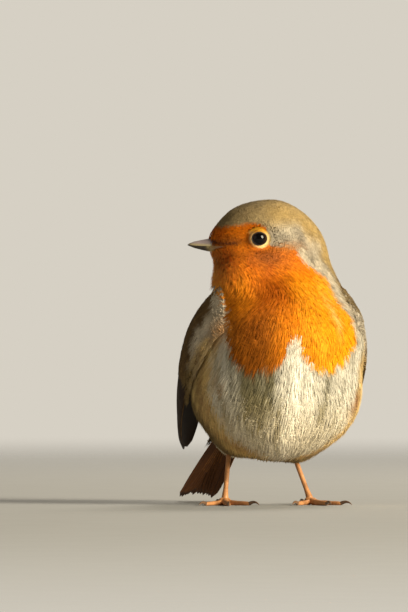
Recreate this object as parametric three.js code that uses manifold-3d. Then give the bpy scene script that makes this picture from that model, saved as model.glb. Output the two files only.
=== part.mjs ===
// A European robin, life size, standing on level ground with its head turned to its right.
// Millimetres. +Z is up, the breast faces -Y and the bird's left side is +X. Shapes are first
// placed from a point on the ground under the body's middle plane. The last lines move them, so
// that the origin is on the ground under the middle of the whole bird.
// Every surface is the outside of the plumage, out to the feathers' tips.

import * as THREE from "three";
import { mergeVertices } from "three/addons/utils/BufferGeometryUtils.js";
import Module from "manifold-3d";

const wasm = await Module();
wasm.setup();

// ---------------------------------------------------------------- driving dimensions

const GAP = 0.3; // clear space between neighbouring pieces
const SNUG = 0.45; // how far a piece is swollen before it is cut out of its neighbour
const ORIGIN_SHIFT = [0, -19.81]; // moves the middle of the bird's box over the origin

// The body is a smooth union of ellipsoids: each has a centre, three radii and a lean, which
// pitches its long Y axis down towards the tail and swings it to one side.
const BODY_MASSES = {
  belly: { at: [0.2, 2.5, 33], radii: [25, 24, 20.4] },
  breast: { at: [1.4, -3, 47], radii: [23.6, 20.5, 19] },
  back: { at: [0.8, 11, 47], radii: [19.5, 18, 20] },
  neck: { at: [1.2, 1.5, 60], radii: [18.6, 15.5, 13.5] },
  throat: { at: [-10.2, -2.5, 65.5], radii: [8.6, 10, 9.5] },
  nape: { at: [3.2, 2, 71.5], radii: [12.2, 11, 13] },
  skull: { at: [-2.3, -1.5, 75.5], radii: [12.6, 11.4, 13.1] },
  brow: { at: [-9.8, -1.5, 76.8], radii: [8.8, 7.8, 9.6] },
  face: { at: [-15, -1.5, 76], radii: [5.2, 3.6, 4.1] },
  rump: { at: [-2.2, 23, 31.5], radii: [12.5, 19.5, 10], pitch: 43, swing: 8 },
  vent: { at: [-3.6, 24, 21], radii: [8.6, 14.5, 6], pitch: 20, swing: 8 },
  leftThigh: { at: [7.2, 6.5, 17.4], radii: [4.6, 5.4, 4.6] },
  rightThigh: { at: [-11, 7, 19.4], radii: [4.6, 5.4, 4.6] },
  leftScapulars: { at: [8.6, 21.5, 42], radii: [7.5, 14, 7], pitch: 46, swing: -4 },
  rightScapulars: { at: [-8.2, 21.5, 42], radii: [7.5, 14, 7], pitch: 46, swing: 4 },
};
const BLEND = 4.5; // how softly one mass runs into the next
const BODY_AROUND = 36;
const BODY_RINGS = 30;

// Cuts that part the body: a point on each, and its upward normal.
const HEAD_CUT = { at: [-4, -1.5, 68.6], normal: [0.12, 0, 1] };
const NECK_CUT = { at: [0, 0, 60.5], normal: [0.05, 0.1, 1] };
const RUMP_CUT = { at: [-2, 21.5, 30], normal: [0.1, -0.8, 0.5] };

// The inner side of each folded wing lies on three guide lines, from the wrist to the tip: its lower
// edge, the ridge along its middle and its upper edge. They are given for the right wing.
const WING_GUIDES = {
  lower: [[-19.4, -13.5, 52], [-24, 0, 39.5], [-24.4, 13, 28], [-22.2, 29, 19], [-18.2, 43.2, 15.2]],
  ridge: [[-18.4, -10.5, 58.4], [-23.2, 5.5, 49], [-22.8, 20, 36.5], [-20.2, 33, 23.6], [-17.2, 44.4, 15.6]],
  upper: [[-14.6, -4.5, 61.8], [-16, 14, 56.5], [-13.4, 28.5, 43.5], [-13.6, 38, 28], [-15.8, 43.8, 17.8]],
};
const WING_THICK = { wrist: 2.9, tip: 0.9 };
const WING_ALONG = 15;
const WING_ACROSS = 6;
const COVERT_END = 0.4; // the share of the wing's length that its coverts hide
const SECONDARY_END = 0.74; // where the longest secondary ends and only primaries go on

// The underside of the folded tail lies on its two edges and a middle line, from its root to its tip.
const TAIL_GUIDES = {
  left: [[1.6, 21.4, 29.6], [-2.6, 37, 18.2], [-5, 61.8, 1]],
  middle: [[-2.2, 21.4, 31], [-6.4, 38, 19.4], [-11, 63.2, 1.4]],
  right: [[-6, 21, 29.8], [-10.6, 37.4, 18.4], [-16.8, 61.6, 1]],
};
const TAIL_THICK = { root: 2.4, tip: 1 };
const TAIL_ALONG = 7;
const TAIL_ACROSS = 12;
const TAIL_NOTCH = 0.022; // how much shorter the middle of the tail's end is, as a share of its length
const TAIL_FEATHERS_A_SIDE = 3; // the rounded ends that show on each side of the closed tail

const EYE = { at: [-7.9, 8.2, 77.2], radius: 3.2 }; // at: forward and up as the head's, across from its middle plane
const HEAD_PLANE_Y = -1.5; // the head looks along -X, so this plane halves it

// The bill's centre line rises a little to its tip. Its halves part along the gape.
const BILL = {
  line: [[-13, HEAD_PLANE_Y, 75.2], [-20, HEAD_PLANE_Y, 75.58], [-26.7, HEAD_PLANE_Y, 75.95]],
  halfWidth: 2.7,
  topHeight: 1.95,
  underDepth: 2.2,
  gape: { at: [-20, HEAD_PLANE_Y, 75.58], normal: [0.055, 0, 1] },
  along: 8,
  around: 12,
};

// A foot's place is where its toes meet, and a shank runs up and back from it into the belly.
const LEGS = {
  right: { foot: [-15, 2.6, 1.7], heel: [-11.2, 11.6, 22] },
  left: { foot: [10.4, 2.2, 1.7], heel: [4.9, 11, 20.8] },
};
const SHANK = { top: 1.15, middle: 0.72, bottom: 1.15, palmRadius: 1.75, palmHeight: 2.3 };

// Toes, named by the usual numbers: length without claw, swing out from straight ahead, in degrees
// (the first points back), and the claw's length. Radii at the root and the end.
const TOES = {
  hind: { length: 7.6, swing: 176, claw: 5.6, root: 0.85, end: 0.68 },
  inner: { length: 8.6, swing: -38, claw: 3.9, root: 0.82, end: 0.6 },
  middle: { length: 12.8, swing: 2, claw: 4.4, root: 0.9, end: 0.62 },
  outer: { length: 9.6, swing: 35, claw: 3.8, root: 0.8, end: 0.58 },
};
const TOE_SOLE_CUT = 0.28; // how much of each toe's underside is flat on the ground
const TOE_NECK = { share: 0.5, length: 1.8 }; // how thin toes start, so that they clear each other
const CLAW_RADIUS = 0.55;
const FOOT_SWING = { right: -6, left: 4 }; // how far each foot is turned out of straight ahead

// ---------------------------------------------------------------- materials

const plumage = (color) => new THREE.MeshStandardMaterial({ color, roughness: 0.85, metalness: 0 });
const horny = (color, roughness) => new THREE.MeshStandardMaterial({ color, roughness, metalness: 0 });
const MATERIALS = {
  head: plumage(0xb0611c),
  neck: plumage(0xc46a1a),
  trunk: plumage(0xb9a888),
  rump: plumage(0x7a6a48),
  coverts: plumage(0x6d5c3e),
  flight: plumage(0x4a3a28),
  tail: plumage(0x4c3622),
  billUpper: horny(0x3c352f, 0.4),
  billLower: horny(0x6c6152, 0.42),
  eye: new THREE.MeshStandardMaterial({ color: 0x0d0806, roughness: 0.05, metalness: 0 }),
  leg: horny(0xa0663c, 0.5),
  claw: horny(0x5a4636, 0.35),
};

// ---------------------------------------------------------------- solids

/** A closed geometry as a manifold-3d solid, its shared vertices merged. */
function solidOf(geometry) {
  const bare = geometry.clone();
  bare.deleteAttribute("normal");
  bare.deleteAttribute("uv");
  const merged = mergeVertices(bare, 1e-4);
  return new wasm.Manifold(
    new wasm.Mesh({
      numProp: 3,
      vertProperties: new Float32Array(merged.attributes.position.array),
      triVerts: new Uint32Array(merged.index.array),
    }),
  );
}

/** A geometry swollen by SNUG along its normals, as a solid that cuts room for the geometry. */
function roomFor(geometry) {
  const bare = geometry.clone();
  bare.deleteAttribute("normal");
  bare.deleteAttribute("uv");
  const swollen = mergeVertices(bare, 1e-4);
  swollen.computeVertexNormals();
  const { position, normal } = swollen.attributes;
  for (let i = 0; i < position.count; i++) {
    position.setXYZ(
      i,
      position.getX(i) + SNUG * normal.getX(i),
      position.getY(i) + SNUG * normal.getY(i),
      position.getZ(i) + SNUG * normal.getZ(i),
    );
  }
  return solidOf(swollen);
}

/** A named mesh of a solid. */
function piece(name, solid, material) {
  const { vertProperties, triVerts, numProp } = solid.getMesh();
  const places = new Float32Array((vertProperties.length / numProp) * 3);
  for (let i = 0; i < places.length / 3; i++) {
    places.set(vertProperties.subarray(i * numProp, i * numProp + 3), i * 3);
  }
  const geometry = new THREE.BufferGeometry();
  geometry.setAttribute("position", new THREE.BufferAttribute(places, 3));
  geometry.setIndex(new THREE.BufferAttribute(new Uint32Array(triVerts), 1));
  geometry.computeVertexNormals();
  const mesh = new THREE.Mesh(geometry, material);
  mesh.name = name;
  return mesh;
}

/** The part of a solid on the upper side of a cut, or with side -1 the part below it. */
function trimmed(solid, cut, side = 1) {
  const normal = new THREE.Vector3(...cut.normal).normalize().multiplyScalar(side);
  const offset = normal.dot(new THREE.Vector3(...cut.at)) + GAP / 2;
  return solid.trimByPlane(normal.toArray(), offset);
}

/** A ball whose rows run from one pole to the other, each vertex moved to place(row, turn). Turns
 * run down from 0, so that the faces point out where the rows run along side x lift. */
function shapedBall(around, rows, place) {
  const ball = new THREE.SphereGeometry(1, around, rows);
  const { position } = ball.attributes;
  for (let row = 0, i = 0; row <= rows; row++) {
    for (let column = 0; column <= around; column++, i++) {
      const turn = (-2 * Math.PI * (column % around)) / around;
      position.setXYZ(i, ...place(row, turn));
    }
  }
  return ball;
}

/** A closed tube along a curve. section(u, turn) is its offset to the side and upwards at u. */
function sweep(curve, along, around, section) {
  const up = new THREE.Vector3(0, 0, 1);
  return shapedBall(around, along + 2, (row, turn) => {
    const u = THREE.MathUtils.clamp((row - 1) / along, 0, 1);
    const middle = curve.getPoint(u);
    if (row === 0 || row === along + 2) return middle.toArray();
    const tangent = curve.getTangent(u);
    const side = new THREE.Vector3().crossVectors(up, tangent).normalize();
    const lift = new THREE.Vector3().crossVectors(tangent, side);
    const [across, upward] = section(u, turn);
    return middle.addScaledVector(side, across).addScaledVector(lift, upward).toArray();
  });
}

/** A smooth curve through points. */
const through = (points) => new THREE.CatmullRomCurve3(points.map((p) => new THREE.Vector3(...p)));

/** A thin closed plate: face(u, t) is one side of it, and thickness(u, t) is added beyond it. */
function plate(along, across, face, thickness) {
  const box = new THREE.BoxGeometry(1, 1, 1, along, across, 1);
  const { position } = box.attributes;
  const step = 1e-3;
  for (let i = 0; i < position.count; i++) {
    const u = position.getX(i) + 0.5;
    const t = position.getY(i) + 0.5;
    const here = face(u, t);
    const alongU = face(u + step, t).sub(face(u - step, t));
    const acrossT = face(u, t + step).sub(face(u, t - step));
    const normal = alongU.cross(acrossT).normalize();
    if (position.getZ(i) < 0) here.addScaledVector(normal, -thickness(u, t));
    position.setXYZ(i, ...here.toArray());
  }
  return box;
}

/** A surface through three guide curves, at t of 0, 0.5 and 1. */
function guidedSurface(first, middle, last) {
  const curves = [first, middle, last].map(through);
  return (u, t) => {
    const clamped = THREE.MathUtils.clamp(u, 0, 1);
    const [a, b, c] = curves.map((curve) => {
      const point = curve.getPoint(clamped);
      return point.addScaledVector(curve.getTangent(clamped), (u - clamped) * curve.getLength());
    });
    // The quadratic through a, b and c at 0, 0.5 and 1.
    return new THREE.Vector3()
      .addScaledVector(a, (1 - t) * (1 - 2 * t))
      .addScaledVector(b, 4 * t * (1 - t))
      .addScaledVector(c, t * (2 * t - 1));
  };
}

const mirroredX = (points) => points.map(([x, y, z]) => [-x, y, z]);

// ---------------------------------------------------------------- body

/** Each mass with the matrix that takes a point into its own axes. */
const masses = Object.values(BODY_MASSES).map(({ at, radii, pitch = 0, swing = 0 }) => {
  const lean = new THREE.Euler(
    THREE.MathUtils.degToRad(-pitch),
    0,
    THREE.MathUtils.degToRad(swing),
    "ZYX",
  );
  const toOwnAxes = new THREE.Matrix4().makeRotationFromEuler(lean).setPosition(...at).invert();
  return { toOwnAxes, radii: new THREE.Vector3(...radii) };
});

/** About how far a point is outside a mass, and negative inside it. */
function outside({ toOwnAxes, radii }, point) {
  const own = point.clone().applyMatrix4(toOwnAxes).divide(radii);
  const size = own.length();
  return (size * (size - 1)) / (own.divide(radii).length() + 1e-9);
}

/** About how far a point is outside the whole body. */
function outsideBody(point) {
  return masses.reduce((nearest, mass) => {
    const distance = outside(mass, point);
    const overlap = Math.max(BLEND - Math.abs(nearest - distance), 0) / BLEND;
    return Math.min(nearest, distance) - (overlap * overlap * BLEND) / 4;
  }, 1e3);
}

/** The distance from a point inside the body to its surface, along a direction. */
function reach(from, direction) {
  let [low, high] = [0, 60];
  for (let i = 0; i < 40; i++) {
    const middle = (low + high) / 2;
    if (outsideBody(from.clone().addScaledVector(direction, middle)) < 0) low = middle;
    else high = middle;
  }
  return low;
}

/** The whole feathered body: rings of points, each pushed out level from a core line. */
function bodyGeometry() {
  const [bellyX, bellyY] = BODY_MASSES.belly.at;
  const [skullX, skullY, skullZ] = BODY_MASSES.skull.at;
  const bottom = BODY_MASSES.belly.at[2] - reach(new THREE.Vector3(...BODY_MASSES.belly.at), new THREE.Vector3(0, 0, -1));
  const top = skullZ + reach(new THREE.Vector3(...BODY_MASSES.skull.at), new THREE.Vector3(0, 0, 1));
  return shapedBall(BODY_AROUND, BODY_RINGS, (row, turn) => {
    const z = (top + bottom) / 2 - ((top - bottom) / 2) * Math.cos((Math.PI * row) / BODY_RINGS);
    const rise = THREE.MathUtils.smoothstep(z, 48, 72);
    const core = new THREE.Vector3(
      THREE.MathUtils.lerp(bellyX, skullX, rise),
      THREE.MathUtils.lerp(bellyY, skullY, rise),
      z,
    );
    if (row === 0 || row === BODY_RINGS) return core.toArray();
    const direction = new THREE.Vector3(Math.cos(turn), Math.sin(turn), 0);
    return core.addScaledVector(direction, reach(core, direction)).toArray();
  });
}

// ---------------------------------------------------------------- head

/** An eyeball on one side of the head. */
function eyeGeometry(side) {
  const [forward, across, up] = EYE.at;
  const ball = new THREE.SphereGeometry(EYE.radius, 12, 9);
  return ball.translate(forward, HEAD_PLANE_Y + side * across, up);
}

/** The whole closed bill. */
function billGeometry() {
  const { line, halfWidth, topHeight, underDepth, along, around } = BILL;
  return sweep(through(line), along, around, (u, turn) => {
    const taper = Math.pow(Math.min((1 - u) * 1.7, 1), 0.85) * 0.96 + 0.04;
    const width = halfWidth * Math.pow(Math.max(1 - u, 0), 0.95) + 0.1;
    const height = Math.sin(turn) > 0 ? topHeight : underDepth;
    return [Math.cos(turn) * width, Math.sin(turn) * height * taper];
  });
}

// ---------------------------------------------------------------- wings and tail

/** A folded wing, 1 for the left side or -1 for the right. */
function wingGeometry(side) {
  const { lower, ridge, upper } = WING_GUIDES;
  const guides = [lower, ridge, upper].map((g) => (side > 0 ? mirroredX(g) : g));
  // On the left the edges change places, so that the plate's thickness still goes outwards.
  const surface = side > 0 ? guidedSurface(...guides.reverse()) : guidedSurface(...guides);
  const thickness = (u, t) => {
    const rim = Math.sqrt(Math.max(1 - Math.pow(2 * t - 1, 4), 0));
    const full = THREE.MathUtils.lerp(WING_THICK.wrist, WING_THICK.tip, u);
    return Math.max(full * (0.4 + 0.6 * rim), 0.6);
  };
  return plate(WING_ALONG, WING_ACROSS, surface, thickness);
}

/** A wing's three named pieces, cut across its length. */
function wingPieces(side, name) {
  const solid = solidOf(wingGeometry(side));
  const ridge = through(side > 0 ? mirroredX(WING_GUIDES.ridge) : WING_GUIDES.ridge);
  const cutAt = (u) => ({ at: ridge.getPoint(u).toArray(), normal: ridge.getTangent(u).toArray() });
  const [first, second] = [cutAt(COVERT_END), cutAt(SECONDARY_END)];
  return [
    piece(`${name}_coverts`, trimmed(solid, first, -1), MATERIALS.coverts),
    piece(`${name}_secondaries`, trimmed(trimmed(solid, first), second, -1), MATERIALS.flight),
    piece(`${name}_primaries`, trimmed(solid, second), MATERIALS.flight),
  ];
}

/** The closed tail. Its end is notched in the middle and scalloped by the feathers' ends. */
function tailGeometry() {
  const surface = guidedSurface(TAIL_GUIDES.right, TAIL_GUIDES.middle, TAIL_GUIDES.left);
  const underside = (u, t) => {
    const fromMiddle = Math.abs(2 * t - 1);
    const scallop = 0.006 * Math.abs(Math.sin(fromMiddle * TAIL_FEATHERS_A_SIDE * Math.PI));
    const end = 1 - TAIL_NOTCH * (1 - fromMiddle) - 0.03 * Math.pow(fromMiddle, 6) + scallop;
    return surface(u * end, t);
  };
  const thickness = (u, t) => {
    const full = THREE.MathUtils.lerp(TAIL_THICK.root, TAIL_THICK.tip, u);
    return full * (1 - 0.35 * Math.abs(2 * t - 1));
  };
  return plate(TAIL_ALONG, TAIL_ACROSS, underside, thickness);
}

// ---------------------------------------------------------------- legs

/** A shank, from the heel hidden in the belly down to the pad where the toes meet. */
function shankGeometry({ foot, heel }) {
  const { top, middle, bottom } = SHANK;
  const [x, y, z] = foot;
  return sweep(through([heel, [x, y, z + 0.2], [x, y, 0.9]]), 9, 8, (u, turn) => {
    const radius = u < 0.5
      ? THREE.MathUtils.lerp(top, middle, THREE.MathUtils.smoothstep(u, 0, 0.35))
      : THREE.MathUtils.lerp(middle, bottom, THREE.MathUtils.smoothstep(u, 0.55, 0.95));
    return [Math.cos(turn) * radius, Math.sin(turn) * radius];
  });
}

/** The round pad under a shank, flat on the ground. */
function palmGeometry({ foot: [x, y] }) {
  const { palmRadius, palmHeight } = SHANK;
  const profile = [
    [0, 0],
    [palmRadius * 0.8, 0],
    [palmRadius, palmHeight * 0.35],
    [palmRadius * 0.85, palmHeight * 0.8],
    [0, palmHeight],
  ].map(([radius, z]) => new THREE.Vector2(radius, z));
  // The lathe turns about Y, which is then stood up on Z.
  return new THREE.LatheGeometry(profile, 12).rotateX(Math.PI / 2).translate(x, y, 0);
}

/** A toe and its claw, laid on the ground from the palm outwards. */
function toeAndClaw(side, foot, toe) {
  const sideName = side > 0 ? "left" : "right";
  // A swing above 0 goes outwards, away from the body's middle plane.
  const heading = THREE.MathUtils.degToRad(-90 + side * (toe.swing + side * FOOT_SWING[sideName]));
  const ahead = new THREE.Vector3(Math.cos(heading), Math.sin(heading), 0);
  const start = new THREE.Vector3(foot[0], foot[1], 0).addScaledVector(ahead, SHANK.palmRadius + GAP);
  const rest = toe.end - TOE_SOLE_CUT; // the height of the centre line over a flat sole
  const at = (distance, z) => start.clone().addScaledVector(ahead, distance).setZ(z).toArray();

  const joints = toe.length > 10 ? 3 : 2;
  const line = through([at(0, toe.root), at(toe.length * 0.5, rest + 0.08), at(toe.length, rest)]);
  const toeShape = sweep(line, 8, 8, (u, turn) => {
    const pads = 1 + 0.1 * Math.cos(2 * Math.PI * joints * u);
    const neck = THREE.MathUtils.smoothstep(u * toe.length, 0, TOE_NECK.length);
    const ends = THREE.MathUtils.lerp(TOE_NECK.share, 1, neck) * (u > 0.97 ? 0.75 : 1);
    const radius = THREE.MathUtils.lerp(toe.root, toe.end, u) * pads * ends;
    return [Math.cos(turn) * radius, Math.sin(turn) * radius];
  });

  const clawStart = toe.length + GAP;
  const arch = through([
    at(clawStart, rest + 0.12),
    at(clawStart + toe.claw * 0.45, rest + 0.42),
    at(clawStart + toe.claw * 0.8, rest + 0.12),
    at(clawStart + toe.claw * 0.98, 0.18),
  ]);
  const clawShape = sweep(arch, 5, 6, (u, turn) => {
    const radius = CLAW_RADIUS * Math.pow(1 - u, 0.75) + 0.1;
    return [Math.cos(turn) * radius * 0.75, Math.sin(turn) * radius];
  });
  return [toeShape, clawShape];
}

/** What is above the ground, which leaves a flat sole. */
const onTheGround = (solid) => solid.trimByPlane([0, 0, 1], 0);

/** The pieces of a leg: the shank with its palm, and each toe and claw. */
function legPieces(side, name) {
  const leg = LEGS[name];
  const made = [];
  const cutters = [];
  for (const [toeName, toe] of Object.entries(TOES)) {
    const [toeShape, clawShape] = toeAndClaw(side, leg.foot, toe);
    made.push(piece(`toe_${name}_${toeName}`, onTheGround(solidOf(toeShape)), MATERIALS.leg));
    made.push(piece(`claw_${name}_${toeName}`, onTheGround(solidOf(clawShape)), MATERIALS.claw));
    cutters.push(roomFor(toeShape));
  }
  let shank = solidOf(shankGeometry(leg)).add(solidOf(palmGeometry(leg)));
  for (const cutter of cutters) shank = shank.subtract(cutter);
  made.push(piece(`shank_${name}`, onTheGround(shank), MATERIALS.leg));
  return made;
}

// ---------------------------------------------------------------- assembly

const robin = new THREE.Group();
const SIDES = [["left", 1], ["right", -1]];

const bill = billGeometry();
const tail = tailGeometry();
let body = solidOf(bodyGeometry()).subtract(roomFor(bill)).subtract(roomFor(tail));
for (const [name, side] of SIDES) {
  // The head looks to the bird's right, so its own left side is the one towards -Y.
  const eye = eyeGeometry(-side);
  body = body.subtract(roomFor(eye)).subtract(roomFor(wingGeometry(side)));
  body = body.subtract(roomFor(shankGeometry(LEGS[name])));
  robin.add(piece(`eye_${name}`, solidOf(eye), MATERIALS.eye));
  robin.add(...wingPieces(side, `wing_${name}`), ...legPieces(side, name));
}

const aboveNeckCut = trimmed(body, NECK_CUT);
const belowNeckCut = trimmed(body, NECK_CUT, -1);
robin.add(
  piece("head", trimmed(aboveNeckCut, HEAD_CUT), MATERIALS.head),
  piece("neck", trimmed(aboveNeckCut, HEAD_CUT, -1), MATERIALS.neck),
  piece("trunk", trimmed(belowNeckCut, RUMP_CUT), MATERIALS.trunk),
  piece("rump", trimmed(belowNeckCut, RUMP_CUT, -1), MATERIALS.rump),
  piece("tail", solidOf(tail), MATERIALS.tail),
);

const wholeBill = solidOf(bill);
robin.add(
  piece("bill_upper", trimmed(wholeBill, BILL.gape), MATERIALS.billUpper),
  piece("bill_lower", trimmed(wholeBill, BILL.gape, -1), MATERIALS.billLower),
);

robin.position.set(...ORIGIN_SHIFT, 0);

export default robin;
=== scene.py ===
"""A European robin, life size, standing with its head turned to its right.

Places and sizes are in millimetres in the bird's own frame: it stands on z = 0, its breast faces -Y
and its left side is +X. finished_mesh() moves them into the frame of the CAD model, in metres.
"""

import math

import bmesh
import bpy
import numpy as np
from mathutils import Matrix, Vector
from mathutils.bvhtree import BVHTree


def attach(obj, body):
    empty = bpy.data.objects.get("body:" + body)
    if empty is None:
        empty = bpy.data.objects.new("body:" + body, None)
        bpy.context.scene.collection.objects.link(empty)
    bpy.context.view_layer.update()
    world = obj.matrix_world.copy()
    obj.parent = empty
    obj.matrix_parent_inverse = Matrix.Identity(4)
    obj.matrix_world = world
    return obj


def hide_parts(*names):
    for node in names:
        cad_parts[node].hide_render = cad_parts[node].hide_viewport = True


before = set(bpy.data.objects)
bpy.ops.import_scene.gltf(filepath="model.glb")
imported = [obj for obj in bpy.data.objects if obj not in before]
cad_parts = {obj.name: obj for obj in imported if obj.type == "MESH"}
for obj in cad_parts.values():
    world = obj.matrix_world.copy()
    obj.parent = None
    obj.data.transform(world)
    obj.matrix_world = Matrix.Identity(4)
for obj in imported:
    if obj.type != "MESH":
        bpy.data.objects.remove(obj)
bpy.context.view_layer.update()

MM = 0.001
FRAME_ORIGIN = np.array([0.0, -19.81, 0.0])  # where the frame puts the bird's own origin
rng = np.random.default_rng(7)

# ---------------------------------------------------------------- driving dimensions

# The masses of the body: centre, radii, then how far the long Y axis is pitched down and swung.
BODY_MASSES = (
    ((0.2, 2.5, 33), (25, 24, 20.4), 0, 0),  # belly
    ((1.4, -3, 47), (23.6, 20.5, 19), 0, 0),  # breast
    ((0.8, 11, 47), (19.5, 18, 20), 0, 0),  # back
    ((1.2, 1.5, 60), (18.6, 15.5, 13.5), 0, 0),  # neck
    ((-10.2, -2.5, 65.5), (8.6, 10, 9.5), 0, 0),  # throat
    ((3.2, 2, 71.5), (12.2, 11, 13), 0, 0),  # nape
    ((-2.3, -1.5, 75.5), (12.6, 11.4, 13.1), 0, 0),  # skull
    ((-9.8, -1.5, 76.8), (8.8, 7.8, 9.6), 0, 0),  # brow
    ((-15, -1.5, 76), (5.2, 3.6, 4.1), 0, 0),  # face
    ((-2.2, 23, 31.5), (12.5, 19.5, 10), 43, 8),  # rump
    ((-3.6, 24, 21), (8.6, 14.5, 6), 20, 8),  # vent
    ((7.2, 6.5, 17.4), (4.6, 5.4, 4.6), 0, 0),  # left thigh
    ((-11, 7, 19.4), (4.6, 5.4, 4.6), 0, 0),  # right thigh
    ((8.6, 21.5, 42.0), (7.5, 14.0, 7.0), 46, -4),  # left scapulars
    ((-8.2, 21.5, 42.0), (7.5, 14.0, 7.0), 46, 4),  # right scapulars
)
BODY_BLEND = 4.5
BELLY, SKULL = np.array(BODY_MASSES[0][0]), np.array(BODY_MASSES[6][0])
HEAD_PLANE_Y = -1.5  # the head looks along -X, and this plane halves it
BILL_ROOT = np.array([-20.5, HEAD_PLANE_Y, 75.6])
TAILWARD = np.array([-0.06, 0.5, -0.86])

EYE_RADIUS = 3.2
EYE_CENTRES = {-1: np.array([-7.9, HEAD_PLANE_Y - 8.2, 77.2]), 1: np.array([-7.9, HEAD_PLANE_Y + 8.2, 77.2])}
EYE_OPENING = (2.05, 1.68)  # half the length and half the height of what the lids leave open

# The bill by place along X: half its width, the line of the gape, the height over it and the depth under it.
BILL_X = (-26.9, -26.4, -24.9, -22.6, -20.9, -19.4, -18.2, -17.0, -15.0)
BILL_HALF = (0.02, 0.28, 0.75, 1.4, 1.9, 2.5, 3.5, 4.6, 5.0)
BILL_GAPE = (75.35, 75.34, 75.2, 75.08, 75.0, 74.98, 74.98, 75.0, 75.0)
BILL_ABOVE = (0.03, 0.42, 1.12, 1.72, 2.12, 2.4, 2.5, 2.4, 1.8)
BILL_BELOW = (0.02, 0.2, 0.66, 1.12, 1.42, 1.62, 1.75, 1.8, 1.5)
GAPE_FRONT, GAPE_BACK = -20.6, -16.8  # where the pale corner of the mouth starts and ends, along X

WING_LOWER = ((-19.4, -13.5, 52), (-24, 0, 39.5), (-24.4, 13, 28), (-22.2, 29, 19), (-18.2, 43.2, 15.2))
WING_RIDGE = (
    (-18.4, -10.5, 58.4), (-23.2, 5.5, 49), (-22.8, 20, 36.5), (-20.2, 33, 23.6), (-17.2, 44.4, 15.6)
)
WING_UPPER = (
    (-14.6, -4.5, 61.8), (-16, 14, 56.5), (-13.4, 28.5, 43.5), (-12.8, 38, 27.6), (-13.6, 43.4, 17.4)
)

TAIL_LEFT = ((1.6, 21.4, 29.6), (-2.6, 37, 18.2), (-4.8, 62.6, 0.5))
TAIL_MIDDLE = ((-2.2, 21.4, 31), (-6.4, 38, 19.4), (-11, 64, 0.9))
TAIL_RIGHT = ((-6, 21, 29.8), (-11.2, 37.4, 18.2), (-17.6, 62.2, 0.5))

SIDES = ((-1, "right"), (1, "left"))
# Each foot's side, its place on the ground, its heel and how far it is turned out; then each toe's
# length, its heading and its claw's length.
FEET = {"right": (-1, (-15, 2.6), (-11.2, 11.6, 22), -6), "left": (1, (10.4, 2.2), (4.9, 11, 20.8), 4)}
TOES = {"hind": (7.6, 176, 5.6), "inner": (8.6, -38, 3.9), "middle": (12.8, 2, 4.4), "outer": (9.6, 35, 3.8)}

LEG_VOXEL = 0.00014  # metres
CHIN_SPOT = np.array([-17.5, -2.5, 67.5])
NAPE_SPOT = np.array([7.0, 7.0, 63.5])

# The picture's frame and where the bird stands in it.
PIXELS_HIGH = 612
PIXELS_PER_MM = 3.45
CAMERA_TURN = -12.0  # degrees round from straight in front, towards the bird's right
CAMERA_FAR = 3000.0
CAMERA_HIGH = 57.7
CAMERA_ASIDE = -21.2  # the middle of the picture, to the right of the bird's own origin
SENSOR = 36.0


def srgb(red, green, blue):
    """A linear colour from the 0 to 255 values that screens use."""
    value = np.array([red, green, blue]) / 255
    return np.where(value > 0.04045, ((value + 0.055) / 1.055) ** 2.4, value / 12.92)


ORANGE = srgb(230, 128, 12)
ORANGE_DEEP = srgb(194, 90, 9)
ORANGE_GOLD = srgb(246, 174, 14)
ORANGE_PALE = srgb(250, 194, 44)
ASH = srgb(208, 196, 174)
ASH_DARK = srgb(140, 132, 118)
OLIVE = srgb(146, 124, 80)
OLIVE_DARK = srgb(104, 86, 54)
CROWN = srgb(198, 168, 108)
FOREHEAD = srgb(158, 138, 100)
CROWN_FLECK = srgb(84, 68, 48)
BELLY_WHITE = srgb(244, 238, 222)
BELLY_GREY = srgb(152, 146, 126)
BUFF = srgb(232, 198, 118)
FLANK = srgb(146, 88, 22)
EYE_RING = srgb(246, 210, 142)
UNDERTAIL = srgb(216, 204, 176)
LORE = srgb(140, 78, 36)
CHIN_PAINTED_LIGHT = srgb(255, 182, 96)
BIB_PAINTED_SHADE = srgb(126, 66, 8)
EAR = srgb(168, 112, 56)
OCHRE = srgb(176, 118, 44)

# ---------------------------------------------------------------- arithmetic


def smoothstep(x, low, high):
    share = np.clip((x - low) / (high - low), 0, 1)
    return share * share * (3 - 2 * share)


def mix(first, second, share):
    """Between two arrays, with a share for each row."""
    share = np.asarray(share)[..., None]
    return first * (1 - share) + second * share


def soft_spot(*spans):
    """1 in the middle of a spot, falling away from it. Each span is a value, its middle and its reach."""
    return np.exp(-sum(((value - middle) / far) ** 2 for value, middle, far in spans))


def distance(points, place):
    return np.linalg.norm(points - place, axis=-1)


def unit(vectors):
    return vectors / np.maximum(np.linalg.norm(vectors, axis=-1, keepdims=True), 1e-9)


def through(points, share):
    """Places on the smooth curve through points, with each knot the same share apart."""
    knots = np.asarray(points, float)
    padded = np.vstack([2 * knots[0] - knots[1], knots, 2 * knots[-1] - knots[-2]])
    spot = np.clip(share, 0, 1) * (len(knots) - 1)
    knot = np.minimum(spot.astype(int), len(knots) - 2)
    step = (spot - knot)[..., None]
    before, start, end, after = (padded[knot + i] for i in range(4))
    return 0.5 * (
        2 * start
        + (end - before) * step
        + (2 * before - 5 * start + 4 * end - after) * step**2
        + (3 * start - before - 3 * end + after) * step**3
    )


def ripple(points, size, seed):
    """A smooth random value from about -1 to 1 that changes over about size millimetres."""
    chance = np.random.default_rng(seed)
    waves = chance.normal(0, 1, (7, 3)) / size
    phases = chance.uniform(0, 2 * np.pi, 7)
    return np.sin(points @ waves.T * 2.2 + phases).sum(-1) / 3.2


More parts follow.
